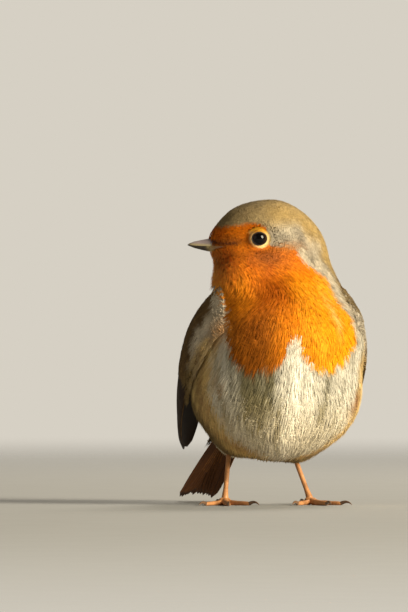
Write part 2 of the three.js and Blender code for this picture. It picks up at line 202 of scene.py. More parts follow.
def turned(pitch, swing):
    """The axes of a mass, as columns, pitched down towards +Y and swung about Z."""
    p, s = math.radians(-pitch), math.radians(swing)
    about_x = np.array([[1, 0, 0], [0, math.cos(p), -math.sin(p)], [0, math.sin(p), math.cos(p)]])
    about_z = np.array([[math.cos(s), -math.sin(s), 0], [math.sin(s), math.cos(s), 0], [0, 0, 1]])
    return about_z @ about_x


# ---------------------------------------------------------------- the body's surface


def outside_body(points):
    """About how far each point is outside the plumage, and negative inside it."""
    nearest = np.full(points.shape[:-1], 1e3)
    for centre, radii, pitch, swing in BODY_MASSES:
        own = (points - np.array(centre)) @ turned(pitch, swing) / np.array(radii)
        size = np.linalg.norm(own, axis=-1)
        far = size * (size - 1) / (np.linalg.norm(own / np.array(radii), axis=-1) + 1e-9)
        overlap = np.maximum(BODY_BLEND - np.abs(nearest - far), 0) / BODY_BLEND
        nearest = np.minimum(nearest, far) - overlap**2 * BODY_BLEND / 4
    return nearest


EYE_NEAR, FAR_FROM_EYE = 12, 99.0


def eye_distance(points):
    """How far each point is from the axis of the eye on its side of the head."""
    side = np.where(points[..., 1] < HEAD_PLANE_Y, -1, 1)
    centre = np.where((side < 0)[..., None], EYE_CENTRES[-1], EYE_CENTRES[1]) + np.array([-0.06, 0, -0.1])
    away = (points - centre)[..., [0, 2]] * np.array([1.0, 1.16])
    return np.where(distance(points, centre) < EYE_NEAR, np.linalg.norm(away, axis=-1), FAR_FROM_EYE)


def faceness(points):
    """1 at the bill, falling to 0 at the ear."""
    return 1 - smoothstep(distance(points, BILL_ROOT), 3, 15)


def coat_depth(points):
    """How deep the feathers lie over the skin."""
    z = points[..., 2]
    depth = 2.0 + 0.5 * (1 - smoothstep(z, 22, 40))
    depth = depth * (1 - smoothstep(z, 62, 74)) + 1.15 * smoothstep(z, 62, 74)
    face = faceness(points)
    depth = depth * (1 - face) + 0.45 * face
    return depth + 1.5 * soft_spot((eye_distance(points), 0, 2.9))


def outside_skin(points):
    return outside_body(points) + coat_depth(points)


SLOPE_STEP = 0.05  # how far apart a field is read for its slope
SETTLE_STEP = 3  # the furthest that points move at once
FURTHEST, HALVINGS = 60.0, 22  # how far from the core the skin is looked for, and how finely


def normals_of(field, points):
    """The outward unit normals of a field, and how fast it grows along them."""
    here = field(points)
    ahead = [field(points + SLOPE_STEP * axis) for axis in np.eye(3)]
    slope = np.stack([(there - here) / SLOPE_STEP for there in ahead], -1)
    return unit(slope), np.linalg.norm(slope, axis=-1)


def settle(points, height, field=outside_body):
    """Moves points along the normals until they are height above a surface."""
    for _ in range(2):
        normal, growth = normals_of(field, points)
        gap = (height - field(points)) / np.maximum(growth, 0.3)
        points = points + normal * np.clip(gap, -SETTLE_STEP, SETTLE_STEP)[..., None]
    return points, normals_of(field, points)[0]


def reach(core, direction, field):
    """How far it is from the core, along a direction, to where the field is 0."""
    low, high = np.zeros(len(core)), np.full(len(core), FURTHEST)
    for _ in range(HALVINGS):
        middle = (low + high) / 2
        inside = field(core + direction * middle[:, None]) < 0
        low, high = np.where(inside, middle, low), np.where(inside, high, middle)
    return low


def skin_places(share, turn):
    """The skin, as rings of points pushed out level from a line up the middle of the bird."""
    up = np.array([[0.0, 0.0, 1.0]])
    bottom = BELLY[2] - reach(BELLY[None], -up, outside_skin)[0]
    top = SKULL[2] + reach(SKULL[None], up, outside_skin)[0]
    z = (top + bottom) / 2 - (top - bottom) / 2 * np.cos(math.pi * share)
    core = mix(BELLY[None], SKULL[None], smoothstep(z, 48, 72))
    core[:, 2] = z
    direction = np.stack([np.cos(turn), np.sin(turn), np.zeros_like(turn)], -1)
    out = reach(core, direction, outside_skin)
    out[(share < 1e-6) | (share > 1 - 1e-6)] = 0
    return core + direction * out[:, None]


# ---------------------------------------------------------------- markings

# The edges of the orange bib, as degrees round the body from straight in front, by height.
BIB_HEIGHT = (30, 41.7, 46.4, 50, 53.6, 57, 60, 64, 66, 68, 70, 73, 75)
BIB_LEFT = (53, 53, 52, 53, 55, 50, 48, 52, 50, 44, 30, 18, 4)
BIB_RIGHT = (-53, -53, -56, -61, -66, -68, -76, -98, -112, -126, -140, -158, -168)
# The bib's lower edge, by degrees to either side: a white notch, two lobes and round corners.
BIB_ASIDE = (0, 4, 7, 12, 20, 31, 40, 47, 52, 60)
BIB_BOTTOM = (47.6, 45, 41.6, 39.4, 37.6, 36.7, 38.8, 42, 46, 55)
# The upper edge of the orange face, by place along the head as the cheek shows it.
FACE_ALONG = (-24, -19.6, -18, -12.9, -6.8, -4.4, -3.4, -2.8, -2.2, 5.4, 7.2, 7.8, 9.7, 12.8, 13.2, 15.2)
FACE_EDGE = (78.4, 78.9, 80.6, 81.3, 81.8, 81.2, 79.8, 77.5, 74.9, 74.1, 72.8, 70.5, 68.5, 67.3, 65.5, 64.6)
TURN = math.radians(CAMERA_TURN)


def along_head(points):
    """Where a point lies along the head, seen square to its cheek, the same on both sides."""
    across = HEAD_PLANE_Y - np.abs(points[..., 1] - HEAD_PLANE_Y)
    return points[..., 0] * math.cos(TURN) + across * math.sin(TURN)


def inside_orange(points):
    """How many millimetres a point is inside the orange, and negative outside it."""
    x, y, z = points[..., 0], points[..., 1], points[..., 2]
    around = np.degrees(np.arctan2(x, -y))
    left, right = np.interp(z, BIB_HEIGHT, BIB_LEFT), np.interp(z, BIB_HEIGHT, BIB_RIGHT)
    from_middle = np.abs((around - (left + right) / 2 + 180) % 360 - 180)
    sideways = np.radians((left - right) / 2 - from_middle) * np.hypot(x, y)
    above = z - np.interp(np.abs(around), BIB_ASIDE, BIB_BOTTOM)
    bib = np.minimum(sideways, above * 0.85)
    face = np.interp(along_head(points), FACE_ALONG, FACE_EDGE) - z
    return bib + (face - bib) * smoothstep(z, 71, 75)


def chin_share(points):
    """1 at the chin, falling to 0 on the breast and cheeks."""
    return soft_spot((distance(points, CHIN_SPOT), 0, 6))


def ochre_share(points):
    """1 in the middle of the ochre patch between the bird's right wing and its bib."""
    across = points[..., 0] * math.cos(TURN) + points[..., 1] * math.sin(TURN)
    return soft_spot((across, -17.5, 3), (points[..., 2], 49.4, 3.5))


def plumage_colour(points):
    """The colour of the plumage at each place on the bird."""
    x, y, z = points[..., 0], points[..., 1], points[..., 2]
    around = np.degrees(np.arctan2(x, -y))
    aside = np.abs((around + 180) % 360 - 180)
    head = smoothstep(z, 64, 72)
    crown_side = along_head(points)
    fine, middling, broad = ripple(points, 1.3, 1), ripple(points, 3.5, 2), ripple(points, 9, 3)

    # Olive back, crown and nape, darker and flecked on the forehead.
    colour = mix(OLIVE, CROWN, head * 0.9)
    colour = mix(colour, OLIVE_DARK, np.clip(0.35 + 0.3 * middling + 0.25 * fine, 0, 1) * (1 - 0.6 * head))
    fleck = smoothstep(fine + 0.5 * ripple(points, 0.8, 4), 0.1, 0.7) * head
    forehead = head * (1 - smoothstep(crown_side, -10, 5)) * smoothstep(z, 78, 81)
    colour = mix(colour, FOREHEAD, 0.8 * forehead)
    colour = mix(colour, CROWN_FLECK, fleck * (0.02 + 0.16 * forehead))

    # White belly, streaked with grey, and buff flanks.
    under = 1 - smoothstep(z + 3 * middling, 46, 54)
    front = 1 - smoothstep(aside + 6 * middling, 78, 100)
    streak_place = np.stack([around / 3.2, aside * 0, z / 9], -1)
    streak = smoothstep(ripple(streak_place, 1.0, 5) + 0.4 * fine, -0.2, 0.9)
    parting = soft_spot((around, 2, 9))
    greyish = soft_spot((around, 30, 10)) * smoothstep(z, 14, 28)
    # Painted shade: the belly is painted greyer low on the bird's right, as the shade of the crease beside
    # the parting.
    painted_shade_grey = soft_spot((around, -30, 19)) * smoothstep(z, 14, 28)
    grey = np.clip(0.35 + 0.45 * streak + 0.9 * painted_shade_grey + 0.3 * greyish - 0.6 * parting, 0, 1.25)
    belly = mix(BELLY_WHITE, BELLY_GREY, grey)
    belly = mix(belly, BUFF, 0.22 * (1 - smoothstep(z, 16, 34)))
    flank = mix(BUFF, FLANK, np.clip(0.3 + 0.4 * middling + 0.3 * smoothstep(aside, 70, 110), 0, 1))
    lower = mix(belly, flank, smoothstep(aside + 7 * middling + 4 * broad, 56, 76) * 0.85)
    behind = smoothstep(y, 14, 22) * smoothstep(29 - (y - 21.4) * 0.71 - z, 1, 5)
    lower = mix(lower, UNDERTAIL, behind * 0.9)
    colour = mix(colour, lower, np.maximum(under * front, behind))

    # Ash band round the orange.
    orange = inside_orange(points) + (0.7 * middling + 0.45 * fine) * (1 - 0.45 * head)
    band_width = 5.5 + 2.5 * head
    band = smoothstep(orange, -band_width - 3, -band_width + 2) * smoothstep(z, 40, 50)
    band = band * (1 - 0.85 * forehead) * (1 - 0.75 * smoothstep(z, 79, 84))
    ash = mix(ASH, ASH_DARK, np.clip(0.2 + 0.5 * head + 0.3 * fine + 0.25 * middling, 0, 1.1))
    colour = mix(colour, ash, 0.9 * band)

    # The orange itself, deeper on the throat and paler along its edge, with painted light and shade: more
    # golden on the bird's left and lighter on the chin, darker low on its right and in a line above the gape.
    tone = np.clip(0.5 + 0.35 * middling + 0.3 * fine, 0, 1)
    # Painted light: golden towards both sides as the bird is, and more golden and paler on its left, where
    # the key light falls.
    golden = 0.3 * np.clip(aside / 50, 0, 1) + 0.7 * smoothstep(around, -30, 32)
    golden = golden * (1 - smoothstep(z, 61, 70))
    rich = mix(mix(ORANGE, ORANGE_DEEP, tone * 0.7), ORANGE_GOLD, golden * (0.9 - 0.3 * tone))
    rich = mix(rich, ORANGE_PALE, np.clip(0.3 * broad + 0.25 * fine, 0, 0.8) * golden)
    # Painted shade: the lower bib on the bird's right is darkened, partly its deeper orange and partly the
    # shade that side lies in.
    rich = mix(rich, BIB_PAINTED_SHADE, 0.85 * smoothstep(-around, 2, 27) * (1 - smoothstep(z, 50, 64)))
    lore = soft_spot((crown_side, -13, 4.5), (z, 76.6, 1.5))
    cheek = soft_spot((crown_side, -2, 7), (z, 71.5, 3.2))
    # Painted shadow: a thin dark line above the gape, as the shade under the lore feathers.
    mouth = soft_spot((z, 75.7, 0.5)) * (1 - smoothstep(x, -14.5, -12))
    nostril = 1.4 * soft_spot((x, -19.5, 0.8), (z, 76.5, 0.45))
    rich = mix(rich, ORANGE_DEEP * 0.6, 0.85 * soft_spot((around, -14, 22), (z, 61.5, 6)))
    stripe = soft_spot((around - 37 + 2 * middling, 0, 2.6), (z, 54, 4.5))
    # Painted light: the chin is painted a paler, brighter orange, as though lit.
    rich = mix(rich, CHIN_PAINTED_LIGHT, 0.95 * chin_share(points))
    rich = mix(rich, BUFF, 0.75 * stripe)
    rich = mix(rich, LORE, np.clip(0.6 * lore + 0.8 * cheek + 0.8 * mouth + nostril, 0, 1.3))
    colour = mix(colour, rich, smoothstep(orange, -0.5, 0.7))

    # The ear's brown patch, and the ochre one beside the wing.
    colour = mix(colour, EAR, 0.75 * soft_spot((crown_side, 3.8, 4), (z, 74.6, 1.3)))
    colour = mix(colour, OCHRE, 0.75 * ochre_share(points))

    # The pale ring round the eye, wider behind it and widest above it, where it is golden.
    behind_eye = smoothstep(x, -9.5, -6)
    above = smoothstep(z, EYE_CENTRES[1][2] + 0.8, EYE_CENTRES[1][2] + 2.4)
    wider = 0.5 * behind_eye + 1.0 * above * (1 - behind_eye)
    ring = 1 - smoothstep(eye_distance(points), 2.45 + wider, 2.85 + 1.4 * wider)
    return mix(colour, mix(EYE_RING, ORANGE_GOLD, 0.9 * above), ring * (0.8 + 0.2 * behind_eye))


# ---------------------------------------------------------------- mesh building


def faces_in_order(shape):
    """A shape's faces, each from its lowest corner on, in an order that is the same in every run."""
    faces = [[v.index for v in f.verts] for f in shape.faces]
    return sorted(face[face.index(min(face)):] + face[:face.index(min(face))] for face in faces)


class Form:
    """A ball's corners and faces. share runs from its lower pole to its upper one, turn round it."""

    def __init__(self, around, rows):
        ball = bmesh.new()
        bmesh.ops.create_uvsphere(ball, u_segments=around, v_segments=rows, radius=1)
        places = np.array([v.co for v in ball.verts])
        self.share = 1 - np.arccos(np.clip(places[:, 2], -1, 1)) / math.pi
        self.turn = np.arctan2(places[:, 1], places[:, 0])
        self.turn[(self.share < 1e-4) | (self.share > 1 - 1e-4)] = 0
        self.row = np.rint(self.share * rows).astype(int)
        self.rows = rows
        self.faces = faces_in_order(ball)
        ball.free()

    def row_shares(self):
        return np.arange(self.rows + 1) / self.rows


def placed(name, data):
    """A new object of this data, in the scene."""
    made = bpy.data.objects.new(name, data)
    bpy.context.scene.collection.objects.link(made)
    return made


def finished_mesh(name, form, places, made_of, slot, replaced=(), ridge=None, **attributes):
    """One piece of many copies of a form. places is copies x corners x 3. Attributes are the piece's
    own, by copy and corner. With a ridge, which is a corner's number, each copy's shading is smooth
    only across its edges from the ridge to a pole."""
    copies, corners = places.shape[:2]
    lengths = np.array([len(f) for f in form.faces])
    loops = np.concatenate(form.faces)
    every_loop = (loops[None] + corners * np.arange(copies)[:, None]).ravel()
    mesh = bpy.data.meshes.new(name)
    mesh.vertices.add(copies * corners)
    mesh.vertices.foreach_set("co", ((places + FRAME_ORIGIN) * MM).astype(np.float32).ravel())
    mesh.loops.add(len(every_loop))
    mesh.loops.foreach_set("vertex_index", every_loop.astype(np.int32))
    mesh.polygons.add(copies * len(lengths))
    starts = np.concatenate([[0], np.cumsum(np.tile(lengths, copies))[:-1]])
    mesh.polygons.foreach_set("loop_start", starts.astype(np.int32))
    mesh.polygons.foreach_set("use_smooth", np.ones(len(starts), bool))
    for attribute, values in attributes.items():
        if attribute == "patches":
            layer = mesh.uv_layers.new(name="OFBake")
            layer.uv.foreach_set("vector", values.reshape(-1, 2)[every_loop].astype(np.float32).ravel())
        elif values.shape[-1] == 3 and values.ndim > places.ndim - 1:
            layer = mesh.attributes.new(attribute, "FLOAT_COLOR", "POINT")
            with_alpha = np.concatenate([values.reshape(-1, 3), np.ones((copies * corners, 1))], 1)
            layer.data.foreach_set("color", with_alpha.astype(np.float32).ravel())
        else:
            layer = mesh.attributes.new(attribute, "FLOAT", "POINT")
            layer.data.foreach_set("value", values.astype(np.float32).ravel())
    mesh.update(calc_edges=True)
    if ridge is not None:
        ends = np.empty(2 * len(mesh.edges), np.int32)
        mesh.edges.foreach_get("vertices", ends)
        ends = ends.reshape(-1, 2) % corners
        poles = np.flatnonzero(np.abs(form.share - 0.5) > 0.49)
        creased = ~((ends == ridge).any(1) & np.isin(ends, poles).any(1))
        mesh.attributes.new("sharp_edge", "BOOLEAN", "EDGE").data.foreach_set("value", creased)
    mesh.materials.append(made_of)
    piece = placed(name, mesh)
    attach(piece, "root")
    if replaced:
        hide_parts(*replaced)
    return piece


def swept(form, centres, ups, across, thick):
    """A form swept along a line of centres, one for each row. across and thick are half its width
    and half its thickness there."""
    ahead = unit(np.gradient(centres, axis=-2))
    aside = unit(np.cross(ups, ahead))
    lift = np.cross(ahead, aside)
    row = form.row
    side = across[..., row] * np.cos(form.turn)
    rise = thick[..., row] * np.sin(form.turn)
    return centres[..., row, :] + aside[..., row, :] * side[..., None] + lift[..., row, :] * rise[..., None]


# ---------------------------------------------------------------- materials


class Graph:
    """Short calls for adding nodes to a tree."""

    def __init__(self, tree):
        self.tree = tree

    def add(self, kind, **inputs):
        node = self.tree.nodes.new("ShaderNode" + kind)
        for name, value in inputs.items():
            self.feed(node, name.replace("_", " "), value)
        return node

    def feed(self, node, name, value):
        socket = node.inputs[int(name[1:])] if name[0] == "#" else node.inputs[name]
        if isinstance(value, bpy.types.NodeSocket):
            self.tree.links.new(value, socket)
        elif isinstance(value, (tuple, list, np.ndarray)) and socket.type == "RGBA":
            socket.default_value = (*value[:3], 1)
        else:
            socket.default_value = value

    def math(self, operation, first, second=0.0):
        node = self.add("Math")
        node.operation = operation
        self.feed(node, "#0", first)
        self.feed(node, "#1", second)
        return node.outputs[0]

    def plus(self, first, second):
        return self.math("ADD", first, second)

    def times(self, first, second):
        return self.math("MULTIPLY", first, second)

    def ramp(self, value, low, high, out_low=0.0, out_high=1.0):
        node = self.add("MapRange")
        node.interpolation_type = "SMOOTHSTEP"
        for name, given in zip(("Value", "From Min", "From Max", "To Min", "To Max"),
                               (value, low, high, out_low, out_high)):
            self.feed(node, name, given)
        return node.outputs[0]

    def blend(self, share, first, second, way="MIX"):
        node = self.add("Mix")
        node.data_type, node.blend_type, node.clamp_factor = "RGBA", way, True
        self.feed(node, "#0", share)
        self.feed(node, "#6", first)
        self.feed(node, "#7", second)
        return node.outputs[2]

    def shaded(self, colour, tone):
        """A colour made lighter or darker by a number."""
        grey = self.add("CombineColor")
        for channel in range(3):
            self.feed(grey, f"#{channel}", tone)
        return self.blend(1.0, colour, grey.outputs[0], "MULTIPLY")

    def noise(self, scale, detail):
        place = self.add("TexCoord").outputs["Object"]
        return self.add("TexNoise", Vector=place, Scale=scale, Detail=detail).outputs["Fac"]

    def read(self, attribute, output="Fac"):
        node = self.add("Attribute")
        node.attribute_name = attribute
        return node.outputs[output]


COLOURS = {"Colour", "Root", "Middle", "Edge", "Shaft", "Pupil", "Iris"}  # every other socket is a number


def shader_group(name, inputs, outputs, make):
    """A node group with named sockets, filled in by make(graph, inputs) which returns the outputs."""
    tree = bpy.data.node_groups.new(name, "ShaderNodeTree")
    for labels, way in ((inputs, "INPUT"), (outputs, "OUTPUT")):
        for label in labels:
            kind = "NodeSocketColor" if label in COLOURS else "NodeSocketFloat"
            tree.interface.new_socket(label, in_out=way, socket_type=kind)
    given = tree.nodes.new("NodeGroupInput").outputs
    made = make(Graph(tree), {label: given[label] for label in inputs})
    result = tree.nodes.new("NodeGroupOutput")
    for label in outputs:
        tree.links.new(made[label], result.inputs[label])
    return tree


def make_barbs(graph, given):
    """Fine light and dark streaks of loose barbs, and shade between their roots."""
    coarse = graph.noise(850, 2)
    fine = graph.noise(3800, 1)
    both = graph.plus(graph.times(coarse, 0.6), graph.times(fine, 0.4))
    spread = graph.times(graph.math("SUBTRACT", both, 0.5), given["Variation"])
    bright = graph.plus(spread, 1.0)
    shade = graph.ramp(given["Along"], 0.0, 0.75, 0.0, 1.0)
    rooted = graph.blend(shade, given["Root"], given["Colour"])
    colour = graph.shaded(rooted, bright)
    roughness = graph.plus(graph.times(coarse, 0.2), 0.6)
    return {"Colour": colour, "Roughness": roughness, "Height": both}


BARB_SLANT = -9.0  # how many barbs an edge lies behind the shaft
FULL_TURN = 6.2832


def make_vane(graph, given):
    """A feather's flat vane: slanting barbs, a darker middle, a paler edge and its shaft."""
    across, along = graph.read("across"), graph.read("along")
    aside = graph.math("ABSOLUTE", across)
    slant = graph.plus(graph.times(along, given["Barbs"]), graph.times(aside, BARB_SLANT))
    barb = graph.math("SINE", graph.times(slant, FULL_TURN))
    grain = graph.noise(1400, 2)
    edge_at = graph.plus(aside, graph.times(graph.math("SUBTRACT", grain, 0.5), 0.25))
    edge = graph.ramp(edge_at, graph.math("SUBTRACT", 1.0, given["Edge width"]), 0.97)
    tip = graph.ramp(along, 0.9, 1.0, 0.0, 0.7)
    pale = graph.math("MAXIMUM", edge, graph.times(tip, given["Tip"]))
    colour = graph.blend(pale, given["Middle"], given["Edge"])
    shaft = graph.ramp(aside, 0.03, 0.09, 1.0, 0.0)
    colour = graph.blend(graph.times(shaft, 0.6), colour, given["Shaft"])
    tone = graph.plus(graph.times(barb, 0.07), graph.plus(graph.times(grain, 0.5), 0.75))
    colour = graph.shaded(colour, graph.times(tone, graph.read("tone")))
    height = graph.plus(graph.times(barb, 0.3), graph.times(shaft, 2.0))
    return {"Colour": colour, "Height": height}


def make_worn(graph, given):
    """Horn or skin: its colour mottled lighter and darker, with a finer grain in the height."""
    broad, fine = graph.noise(given["Size"], 3), graph.noise(2600, 2)
    darkest, lightest = graph.math("SUBTRACT", 1.0, given["Mottle"]), graph.plus(1.0, given["Mottle"])
    colour = graph.shaded(given["Colour"], graph.ramp(broad, 0.3, 0.7, darkest, lightest))
    roughness = graph.plus(graph.times(fine, 0.25), given["Roughness"])
    return {"Colour": colour, "Roughness": roughness, "Height": fine}


SHOWN, ROUGH_SHOWN = ("Colour", "Height"), ("Colour", "Roughness", "Height")
VANE_LOOK = ("Middle", "Edge", "Shaft", "Edge width", "Tip", "Barbs")
WORN_LOOK = ("Colour", "Mottle", "Size", "Roughness")
BARBS = shader_group("Loose barbs", ("Colour", "Root", "Along", "Variation"), ROUGH_SHOWN, make_barbs)
VANE = shader_group("Feather vane", VANE_LOOK, SHOWN, make_vane)
WORN = shader_group("Mottled horn", WORN_LOOK, ROUGH_SHOWN, make_worn)
BUMP_DEPTH = 0.0001  # metres


def material(name, group, inputs, bump=0.0, **shader):
    """A material with one shader, whose colour, roughness and height come from a group."""
    made = bpy.data.materials.new(name)
    made.use_nodes = True
    graph = Graph(made.node_tree)
    surface = made.node_tree.nodes["Principled BSDF"]
    effect = graph.add("Group")
    effect.node_tree = group
    for label, value in inputs.items():
        graph.feed(effect, label, value(graph) if callable(value) else value)
    graph.feed(surface, "Base Color", effect.outputs["Colour"])
    if "Roughness" in effect.outputs:
        graph.feed(surface, "Roughness", effect.outputs["Roughness"])
    if bump:
        bumped = graph.add("Bump", Strength=bump, Distance=BUMP_DEPTH, Height=effect.outputs["Height"])
        graph.feed(surface, "Normal", bumped.outputs[0])
    for label, value in shader.items():
        graph.feed(surface, label.replace("_", " "), value)
    return made


def painted(graph):
    return graph.read("plumage", "Color")


def coat_material(name, along, variation, specular, bump=0.0):
    look = {"Colour": painted, "Root": lambda g: g.read("roots", "Color"), "Along": along}
    return material(name, BARBS, {**look, "Variation": variation}, bump, Specular_IOR_Level=specular)


def vane_material(name, roughness, *look):
    inputs = dict(zip(VANE_LOOK, look))
    return material(name, VANE, inputs, 0.35, Roughness=roughness, Specular_IOR_Level=0.12)


def worn(name, bump, *look, **shader):
    return material(name, WORN, dict(zip(WORN_LOOK, look)), bump, **shader)


PLUMAGE = coat_material("Plumage", lambda g: g.read("along"), 0.25, 0.12)
SKIN = coat_material("Skin under the plumage", 0.35, 0.6, 0.1, bump=0.6)
# A vane's roughness, then the colours of its middle, edge and shaft, its edge's width, how much paler
# its tip is, and how many barbs it has.
COVERT = vane_material(
    "Wing covert", 0.72, srgb(92, 74, 46), srgb(142, 120, 74), srgb(46, 33, 20), 0.45, 0.5, 22
)
FLIGHT = vane_material(
    "Flight feather", 0.62, srgb(46, 30, 16), srgb(112, 84, 44), srgb(30, 20, 12), 0.2, 0.15, 60
)
TAIL_VANE = vane_material(
    "Tail feather", 0.62, srgb(80, 46, 18), srgb(140, 92, 40), srgb(38, 23, 13), 0.16, 0.15, 60
)
# The bump, then the colour, how mottled it is, how finely, and the roughness.
BILL_UPPER = worn("Upper bill horn", 0.15, painted, 0.12, 260.0, 0.2, Coat_Weight=0.3, Coat_Roughness=0.2)
BILL_LOWER = worn("Lower bill horn", 0.15, painted, 0.12, 260.0, 0.22, Coat_Weight=0.3, Coat_Roughness=0.2)
LEG_SKIN = worn("Leg skin", 0.3, srgb(186, 130, 82), 0.25, 420.0, 0.34)
CLAW_HORN = worn("Claw horn", 0.1, srgb(112, 84, 62), 0.2, 500.0, 0.25, Coat_Weight=0.3)
LID_SKIN = worn("Eyelid", 0.2, srgb(20, 14, 12), 0.2, 900.0, 0.5)


PUPIL_EDGE = 1.45, 1.75  # where the pupil ends and the iris begins, from the eye's axis


def make_iris(graph, given):
    """A dark pupil inside a brown iris that is almost as dark, by distance from the eye's axis."""
    share = graph.ramp(graph.read("from_axis"), *PUPIL_EDGE)
    return {"Colour": graph.blend(share, given["Pupil"], given["Iris"]), "Height": share}


IRIS = shader_group("Iris", ("Pupil", "Iris"), SHOWN, make_iris)
EYE = material(
    "Eye", IRIS, {"Pupil": srgb(6, 5, 6), "Iris": srgb(40, 22, 12)},
    Roughness=0.05, Specular_IOR_Level=0.1, Coat_Weight=0.4, Coat_Roughness=0.02, Coat_IOR=1.4,
)

# ---------------------------------------------------------------- skin

skin_form = Form(224, 176)
skin_at = skin_places(skin_form.share, skin_form.turn)


def under_colour(points):
    """The darker colour of the hidden part of the plumage: partly the dull grey-brown of its downy bases and
    partly painted shade between the roots, painted lighter on the head and round the eye.
    """
    shown = 0.68 + 0.14 * smoothstep(points[..., 2], 66, 74) + 0.18 * soft_spot((eye_distance(points), 0, 4))
    return plumage_colour(points) * shown[..., None] + srgb(88, 80, 72) * 0.06


finished_mesh(
    "skin", skin_form, skin_at[None], SKIN, "body_plumage", ("head", "neck", "trunk", "rump"),
    plumage=plumage_colour(skin_at)[None], roots=under_colour(skin_at)[None],
)

# ---------------------------------------------------------------- wings: where they lie

WING_CLOSE = 0.1  # how far the root of a wing lies over the body
# The three guide lines of each sheet of feathers, and how thick it is at its root and at its tip.
WING = (WING_LOWER, WING_RIDGE, WING_UPPER, 2.9, 0.9)
TAIL = (TAIL_RIGHT, TAIL_MIDDLE, TAIL_LEFT, 1.3, 0.9)


def mirrored(vectors, side):
    """Vectors of the right wing, turned into the left wing's for side 1."""
    return vectors * np.array([-side, 1.0, 1.0])


def on_guides(sheet, u, t):
    """The side of a wing or the tail that its guides lie on: u from root to tip, t across them."""
    first, middle, last = (through(points, u) for points in sheet[:3])
    t = np.asarray(t)[..., None]
    return first * (1 - t) * (1 - 2 * t) + middle * 4 * t * (1 - t) + last * t * (2 * t - 1)


def sheet_up(sheet, u, t):
    """The outward normal of a wing or the tail."""
    step = 0.01
    u, t = np.clip(u, step, 1 - step), np.asarray(t)
    ahead = on_guides(sheet, u + step, t) - on_guides(sheet, u - step, t)
    across = on_guides(sheet, u, t + step) - on_guides(sheet, u, t - step)
    return unit(np.cross(across, ahead))


def sheet_place(sheet, u, t, height, side=-1):
    """Places at a height over the outer surface of a wing or the tail. The wing on side -1 is the
    right one, and both wings come down onto the breast in front."""
    rim = np.sqrt(np.clip(1 - (2 * t - 1) ** 4, 0, 1))
    thick = (sheet[3] + (sheet[4] - sheet[3]) * np.clip(u, 0, 1)) * (0.4 + 0.6 * rim)
    points = mirrored(on_guides(sheet, u, t) + sheet_up(sheet, u, t) * (thick + height)[..., None], side)
    if sheet is not WING:
        return points
    up, _ = normals_of(outside_body, points)
    far = np.clip(u, 0, 1)
    excess = outside_body(points) - (WING_CLOSE + height + 14 * far + 40 * far**2)
    return points - up * np.maximum(excess, 0)[..., None]


def sheet_width(sheet, u):
    first, middle, last = (through(points, u) for points in sheet[:3])
    return np.linalg.norm(middle - first, axis=-1) + np.linalg.norm(last - middle, axis=-1)


WING_GRID = 40  # faces along and across the search tree of a wing
WING_REACH = 7.0  # how far over the body a wing is looked for
WING_TOP, WING_INNER = 64, 9  # no wing lies higher, or nearer to the middle of the body


def wing_tree(side):
    """A search tree of a wing's outer surface, whose face numbers give the place on it."""
    share = np.linspace(0, 1, WING_GRID + 1)
    u, t = np.meshgrid(share, share, indexing="ij")
    corners = sheet_place(WING, u, t, 0 * u, side).reshape(-1, 3)
    index = np.arange((WING_GRID + 1) ** 2).reshape(WING_GRID + 1, -1)
    faces = np.stack([index[:-1, :-1], index[1:, :-1], index[1:, 1:], index[:-1, 1:]], -1).reshape(-1, 4)
    return BVHTree.FromPolygons(corners.tolist(), faces.tolist())


WING_TREES = [wing_tree(-1), wing_tree(1)]


def wing_over(points, normals, back=0.0):
    """For each point, the wing's place u, t over it (nan where there is none) and how far it is."""
    found = np.full((len(points), 3), np.nan)
    starts = points - normals * back
    near = (points[:, 2] < WING_TOP) & (np.abs(points[:, 0]) > WING_INNER)
    for i in np.flatnonzero(near):
        start, ray = Vector(starts[i]), Vector(normals[i])
        for tree in WING_TREES:
            spot, _, face, far = tree.ray_cast(start, ray, WING_REACH)
            if spot is not None:
                u, t = face // WING_GRID + 0.5, face % WING_GRID + 0.5
                found[i] = u / WING_GRID, t / WING_GRID, far - back
    return found


# ---------------------------------------------------------------- wings and tail: their feathers

QUILL = Form(14, 20)
SCALE = Form(10, 10)


def vane_places(guides, form, side, start, end, half, lift, blunt, thick):
    """Feathers laid along a wing or the tail. Each runs from its start to its end, given as u and t,
    and lies flat on the surface, lifted off it by lift at its root and its tip."""
    share, s = form.share[None], form.share[None] ** 1.25
    u = start[:, :1] + (end[:, :1] - start[:, :1]) * share
    t = start[:, 1:] + (end[:, 1:] - start[:, 1:]) * s
    outline = np.sqrt(np.clip(1 - share**blunt, 0, 1)) * np.clip(share * 6, 0, 1) ** 0.6
    across = outline * np.cos(form.turn)
    t = t + across * half[:, None] / np.maximum(sheet_width(guides, u), 2.6)
    body = thick * np.sqrt(np.clip(share * (1 - share) * 4, 0, 1)) * np.sin(form.turn) * side
    bow = 0.16 * half[:, None] * (1 - across**2) * outline / 3
    height = lift[:, :1] + (lift[:, 1:] - lift[:, :1]) * share + body + bow
    places = sheet_place(guides, u, t, height, side if guides is WING else -1)
    return places, np.broadcast_to(across, t.shape), np.broadcast_to(share, t.shape)


def row_of(first, last, count):
    """Even steps between two pairs of values."""
    share = np.linspace(0, 1, count)[:, None]
    return np.asarray(first) * (1 - share) + np.asarray(last) * share


